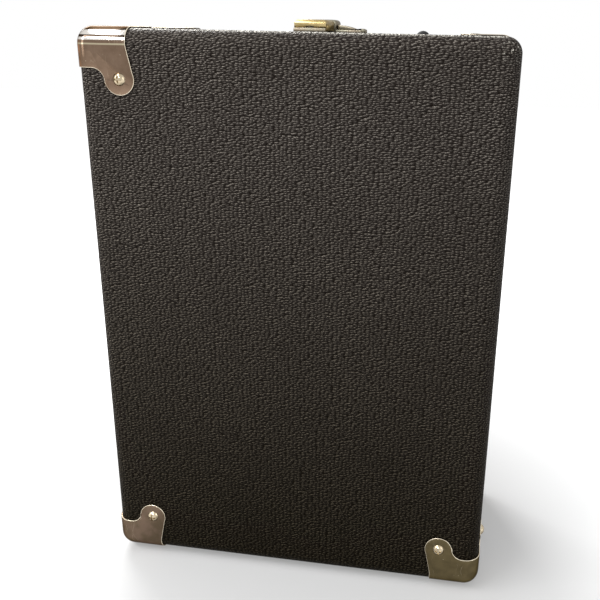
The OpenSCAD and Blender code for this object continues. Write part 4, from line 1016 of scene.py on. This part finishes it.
class TESTER_OT_screws(TesterOperator, bpy.types.Operator):
    """Puts the screws in the hinges, brackets, feet and lock"""
    bl_idname = "tester.screws"
    bl_label = "Small screws"

    FLAT = head_sizes(5.7, 3.1, 1.15, 0.18, 0.9, 7, False)
    ROUND = head_sizes(6, 3, 0.6, 1.5, 0.9, 3.6, True)
    RIVET = head_sizes(3.4, 2, 0.4, 0.8, 0.1, 0.1, False)

    def execute(self, context):
        recipe = screw_recipe()
        steel = steel_look("small_screw_steel", (0.55, 0.53, 0.49))
        rows = (("hinge_screws_lid", self.hinge_places("hinge_lid_leaves", -1), "lid", self.FLAT),
                ("hinge_screws_base", self.hinge_places("hinge_base_leaves", 1), "base", self.FLAT),
                ("handle_screws", self.handle_places(), "base", self.ROUND),
                ("foot_screws", self.foot_places(), "base", self.ROUND),
                ("lock_rivets", self.lock_places(), "base", self.RIVET))
        for seed, (name, places, body, sizes) in enumerate(rows, start=3):
            piece = recipe.apply(screw_points(name, places, seed), Material=steel, **sizes)
            shade(piece, 30.0)
            ride(piece, body)
        return {"FINISHED"}

    @staticmethod
    def hinge_places(node, side):
        """Three in each leaf, the middle one further from the seam."""
        low, high = corners(node)
        length, skin, near, far = 50 * MM, 1.4 * MM, 11 * MM, 16 * MM
        return [(Vector((SHELL_LOW.x - skin, SEAM + side * reach, start + length * share)), LEFTWARD)
                for start in (low.z, high.z - length)
                for share, reach in ((0.16, near), (0.5, far), (0.84, near))]

    @staticmethod
    def handle_places():
        """Two in each bracket, one on each side of the rod."""
        low, high = corners("handle_brackets")
        skin, half, reach = 1.6 * MM, 7 * MM, 13 * MM
        return [(Vector((SHELL_LOW.x - skin, (low.y + high.y) / 2 + side * reach, z)), LEFTWARD)
                for z in (low.z + half, high.z - half) for side in (-1, 1)]

    @staticmethod
    def foot_places():
        """One in each foot, down in its counterbore."""
        half, depth, back_inset = 8 * MM, 2.9 * MM, 30 * MM
        low, high = corners("end_feet")
        under = [(x, low.y + half) for x in (low.x + half, high.x - half)]
        under += [(x, high.y - half) for x in (low.x + back_inset, high.x - back_inset)]
        places = [(Vector((x, y, depth)), Vector((0.0, 0.0, -1.0))) for x, y in under]
        low, high = corners("back_feet")
        places += [(Vector((x, high.y - depth, z)), Vector((0.0, 1.0, 0.0)))
                   for x in (low.x + half, high.x - half) for z in (low.z + half, high.z - half)]
        return places

    @staticmethod
    def lock_places():
        """Two at the left edge of the lock plate."""
        low, high = corners("catch_plate")
        left, front, back, plate = 3.4 * MM, 16 * MM, 5 * MM, 1 * MM
        return [(Vector((low.x + left, y, SHELL_HIGH.z + plate)), Vector((0.0, 0.0, 1.0)))
                for y in (low.y + front, high.y - back)]


class TESTER_OT_lid_inside(TesterOperator, bpy.types.Operator):
    """Lines the lid and stitches its chart pocket"""
    bl_idname = "tester.lid_inside"
    bl_label = "Lid lining"

    def execute(self, context):
        paint(cloth_look("lining_weave", (0.11, 0.12, 0.13)), "lid_lining")
        paint(board_look("pocket_board", (0.075, 0.07, 0.064)), "chart_pocket")
        low, high = corners("chart_pocket")
        inset = 2.5 * MM
        left, right, bottom, top = low.x + inset, high.x - inset, low.z + inset, high.z - inset
        path = [(x, high.y, z) for x, z in ((left, top), (left, bottom), (right, bottom), (right, top))]
        mesh = bpy.data.meshes.new("pocket_stitches")
        mesh.from_pydata(path, [(0, 1), (1, 2), (2, 3)], [])
        row = link("pocket_stitches", mesh)
        stitch_recipe().apply(row, Material=cloth_look("waxed_thread", (0.33, 0.31, 0.27), 0.3 * MM))
        ride(row, "lid")
        return {"FINISHED"}


class TESTER_OT_panel(TesterOperator, bpy.types.Operator):
    """Enamels the panel and prints its scales, rings and lines"""
    bl_idname = "tester.panel"
    bl_label = "Panel"

    RINGED = ("socket_octal", "socket_loctal", "socket_compactron", "socket_novar", "socket_noval",
              "socket_miniature", "socket_nuvistor", "plate_cap_jack", "pin_straightener_7",
              "pin_straightener_9")

    def execute(self, context):
        settings = context.scene.tester_panel
        paint(enamel_look(settings), "panel")
        paint(steel_look("panel_screw_steel", (0.6, 0.59, 0.56)), "panel_screws")
        paint(wood_look("batten_pine", RECORD_COLOURS["batten_wood"]), "panel_battens")
        sheet = Print(ink_look("panel_ink", (0.015, 0.015, 0.016)), PANEL_FRONT, settings.print_depth)
        long_marks, fine_marks, figures = 20.2 * MM, 19.8 * MM, 24.6 * MM
        for node, joint, count in DIALS:
            centre, sweep = box_mid(node), sweep_of(joint)
            sheet.ticks(centre, long_marks, sweep, count, 2.4 * MM, 0.35 * MM)
            if count == 11:
                sheet.ticks(centre, fine_marks, sweep, 51, 1.4 * MM, 0.22 * MM)
            sheet.scale_figures(centre, figures, sweep, [str(i) for i in range(count)], settings.digit)
        toggle, rise = box_mid("power_switch"), Vector((0.0, 0.0, 18.5 * MM))
        sheet.figures("ON", settings.digit, toggle + rise)
        sheet.figures("OFF", settings.digit, toggle - rise)
        self.print_lines(sheet)
        sheet.join("panel_print")
        return {"FINISHED"}

    @classmethod
    def print_lines(cls, sheet):
        """A ring round each socket, and a line under each row."""
        gap, margin = 1.6 * MM, 14 * MM
        rings = []
        for node in cls.RINGED:
            low, high = corners(node)
            radius = max(high.x - low.x, high.z - low.z) / 2 + gap
            rings.append(((low + high) / 2, radius, radius + 0.45 * MM, 0, 360))
        sheet.bands(*rings)
        low, high = corners("panel")
        lines = [CASE_MID.z + rise * MM for rise in (60, -32, -101)]
        sheet.bars(low.x + margin, high.x - margin, lines, 0.4 * MM)


class TESTER_OT_meter(TesterOperator, bpy.types.Operator):
    """Moulds the meter and prints its card"""
    bl_idname = "tester.meter"
    bl_label = "Meter"

    def execute(self, context):
        bakelite = moulded_look("black_bakelite", (0.012, 0.0115, 0.011), 0.16, 0.5, 0.015, 0.4)
        soften("meter_case", "base", "bakelite", 0.5 * MM, bakelite)
        paint(clear_look("meter_pane", (0.96, 0.97, 0.97), 0.02, 1.0), "meter_window")
        paint(board_look("dial_card_stock", (0.80, 0.75, 0.60)), "meter_dial")
        movement = steel_look("movement_steel", RECORD_COLOURS["movement_metal"], 0.4)
        paint(movement, "meter_movement", "transformer")
        paint(moulded_look("pointer_enamel", (0.01, 0.01, 0.01), 0.3), "meter_pointer")
        ink = ink_look("dial_ink", tuple(context.scene.tester_panel.dial_ink))
        card = Print(ink, corners("meter_dial")[0].y, 0.04 * MM)
        pivot = Vector(JOINTS["panel_meter_turn"]["pos_m"])
        radius, sweep = 35.5 * MM, 90
        for count, length, width in ((6, 3.2, 0.5), (11, 2.4, 0.35), (51, 1.4, 0.18)):
            card.ticks(pivot, radius, sweep, count, length * MM, width * MM)
        card.scale_figures(pivot, 42 * MM, sweep, [str(i) for i in range(0, 101, 20)], 4 * MM)
        card.bands((pivot, radius - 0.3 * MM, radius, 45, 135))
        card.join("dial_print")
        for name, tone, first, last in (("dial_red_band", (0.45, 0.03, 0.02), 99, 135),
                                        ("dial_green_band", (0.03, 0.25, 0.06), 45, 90)):
            bm = bmesh.new()
            ring_band(bm, pivot, radius - 6 * MM, radius - 3 * MM, first, last, card.y, card.depth)
            ride(add_piece(name, bm, ink_look(name + "_ink", tone)), "base")
        return {"FINISHED"}


class TESTER_OT_sockets(TesterOperator, bpy.types.Operator):
    """Moulds the tube sockets, the straighteners and the jack"""
    bl_idname = "tester.sockets"
    bl_label = "Sockets"

    def execute(self, context):
        brown = moulded_look("brown_bakelite", (0.075, 0.03, 0.017), 0.26, 0.6, 0.02, 0.2, 2.0)
        paint(brown, *(node for node in TESTER_OT_panel.RINGED if node.startswith("socket_")))
        paint(steel_look("contact_brass", RECORD_COLOURS["contact_brass"]), "socket_contacts")
        bright = steel_look("turned_steel", (0.62, 0.61, 0.58), 0.2, (0.1, 1.0, 0.1))
        paint(bright, "pin_straightener_7", "pin_straightener_9", "power_switch", "power_toggle",
              "rotary_switches", "potentiometers", "button_switches")
        red = moulded_look("red_moulding", (0.28, 0.018, 0.012), 0.3, 0.4, 0.02, 0.2)
        paint(red, "plate_cap_jack", "test_button_1")
        black = moulded_look("black_moulding", (0.012, 0.0115, 0.011), 0.28, 0.4, 0.02, 0.2)
        paint(black, "test_button_2", "test_button_3", "fuse_holder", "mains_inlet")
        return {"FINISHED"}


class TESTER_OT_knobs(TesterOperator, bpy.types.Operator):
    """Moulds the knobs and fills their index lines"""
    bl_idname = "tester.knobs"
    bl_label = "Knobs"

    def execute(self, context):
        black = moulded_look("knob_moulding", (0.012, 0.0115, 0.011), 0.2, 0.5, 0.015, 0.3)
        ink = ink_look("knob_line_ink", tuple(context.scene.tester_panel.ink))
        for node, joint, _ in DIALS:
            paint(black, node)
            self.add_index(node, math.radians(90 + sweep_of(joint) / 2), ink)
        return {"FINISHED"}

    @staticmethod
    def add_index(node, angle, ink):
        """Thin lines on the knob's cap, on its skirt and down the skirt's slope."""
        centre, out = box_mid(node), panel_way(angle)
        side = panel_way(angle + math.pi / 2)
        sunk, width = 0.1 * MM, 0.9 * MM
        cap, crown, rim = corners(node)[0].y, PANEL_FRONT - 3.6 * MM, PANEL_FRONT - 0.6 * MM
        slope = (out * 2 * MM + Vector((0.0, rim - crown, 0.0))).normalized()
        bm = bmesh.new()
        for start, depth, way, length in ((2 * MM, cap, out, 6 * MM), (13.6 * MM, crown, out, 2.3 * MM),
                                          (16 * MM, crown, slope, 3.4 * MM)):
            base = Vector((centre.x, depth, centre.z)) + out * start - way.cross(side) * sunk
            thin_box(bm, base, way, side, length, width, 2 * sunk)
        body = node.replace("_knob", "")
        ride(add_piece(body + "_index", bm, ink), body)


class TESTER_OT_lamps_and_board(TesterOperator, bpy.types.Operator):
    """Tints the lamp lenses and dresses the circuit board"""
    bl_idname = "tester.lamps_and_board"
    bl_label = "Lamps and board"

    def execute(self, context):
        paint(clear_look("red_jewel", (0.55, 0.02, 0.012), 0.08, 0.6), "pilot_jewel")
        paint(clear_look("amber_lens", (0.75, 0.26, 0.03), 0.12, 0.6), "shorts_lamp")
        paint(resin_look("board_resin", (0.26, 0.14, 0.045)), "circuit_board")
        return {"FINISHED"}


OPERATORS = (TESTER_OT_stage, TESTER_OT_covering, TESTER_OT_guards, TESTER_OT_catch,
             TESTER_OT_hinges_and_handle, TESTER_OT_feet, TESTER_OT_screws, TESTER_OT_lid_inside,
             TESTER_OT_panel, TESTER_OT_meter, TESTER_OT_sockets, TESTER_OT_knobs,
             TESTER_OT_lamps_and_board)
SETTINGS = {"tester_case": TesterCaseSettings, "tester_panel": TesterPanelSettings,
            "tester_stage": TesterStageSettings}


class TESTER_PT_tools(bpy.types.Panel):
    """Lists the steps that dress the tester"""
    bl_idname = "TESTER_PT_tools"
    bl_label = "Tube tester"
    bl_space_type = "VIEW_3D"
    bl_region_type = "UI"
    bl_category = "Tester"

    def draw(self, context):
        for operator in OPERATORS:
            self.layout.operator(operator.bl_idname)
        for key in SETTINGS:
            group = getattr(context.scene, key)
            box = self.layout.box()
            for name in group.__annotations__:
                box.prop(group, name)


CLASSES = (*SETTINGS.values(), *OPERATORS, TESTER_PT_tools)


def register():
    for item in CLASSES:
        bpy.utils.register_class(item)
    for key, settings in SETTINGS.items():
        setattr(bpy.types.Scene, key, bpy.props.PointerProperty(type=settings))


def unregister():
    for key in SETTINGS:
        delattr(bpy.types.Scene, key)
    for item in reversed(CLASSES):
        bpy.utils.unregister_class(item)


def main():
    register()
    for operator in OPERATORS:
        getattr(bpy.ops.tester, operator.bl_idname.split(".")[1])()


if __name__ == "__main__":
    main()
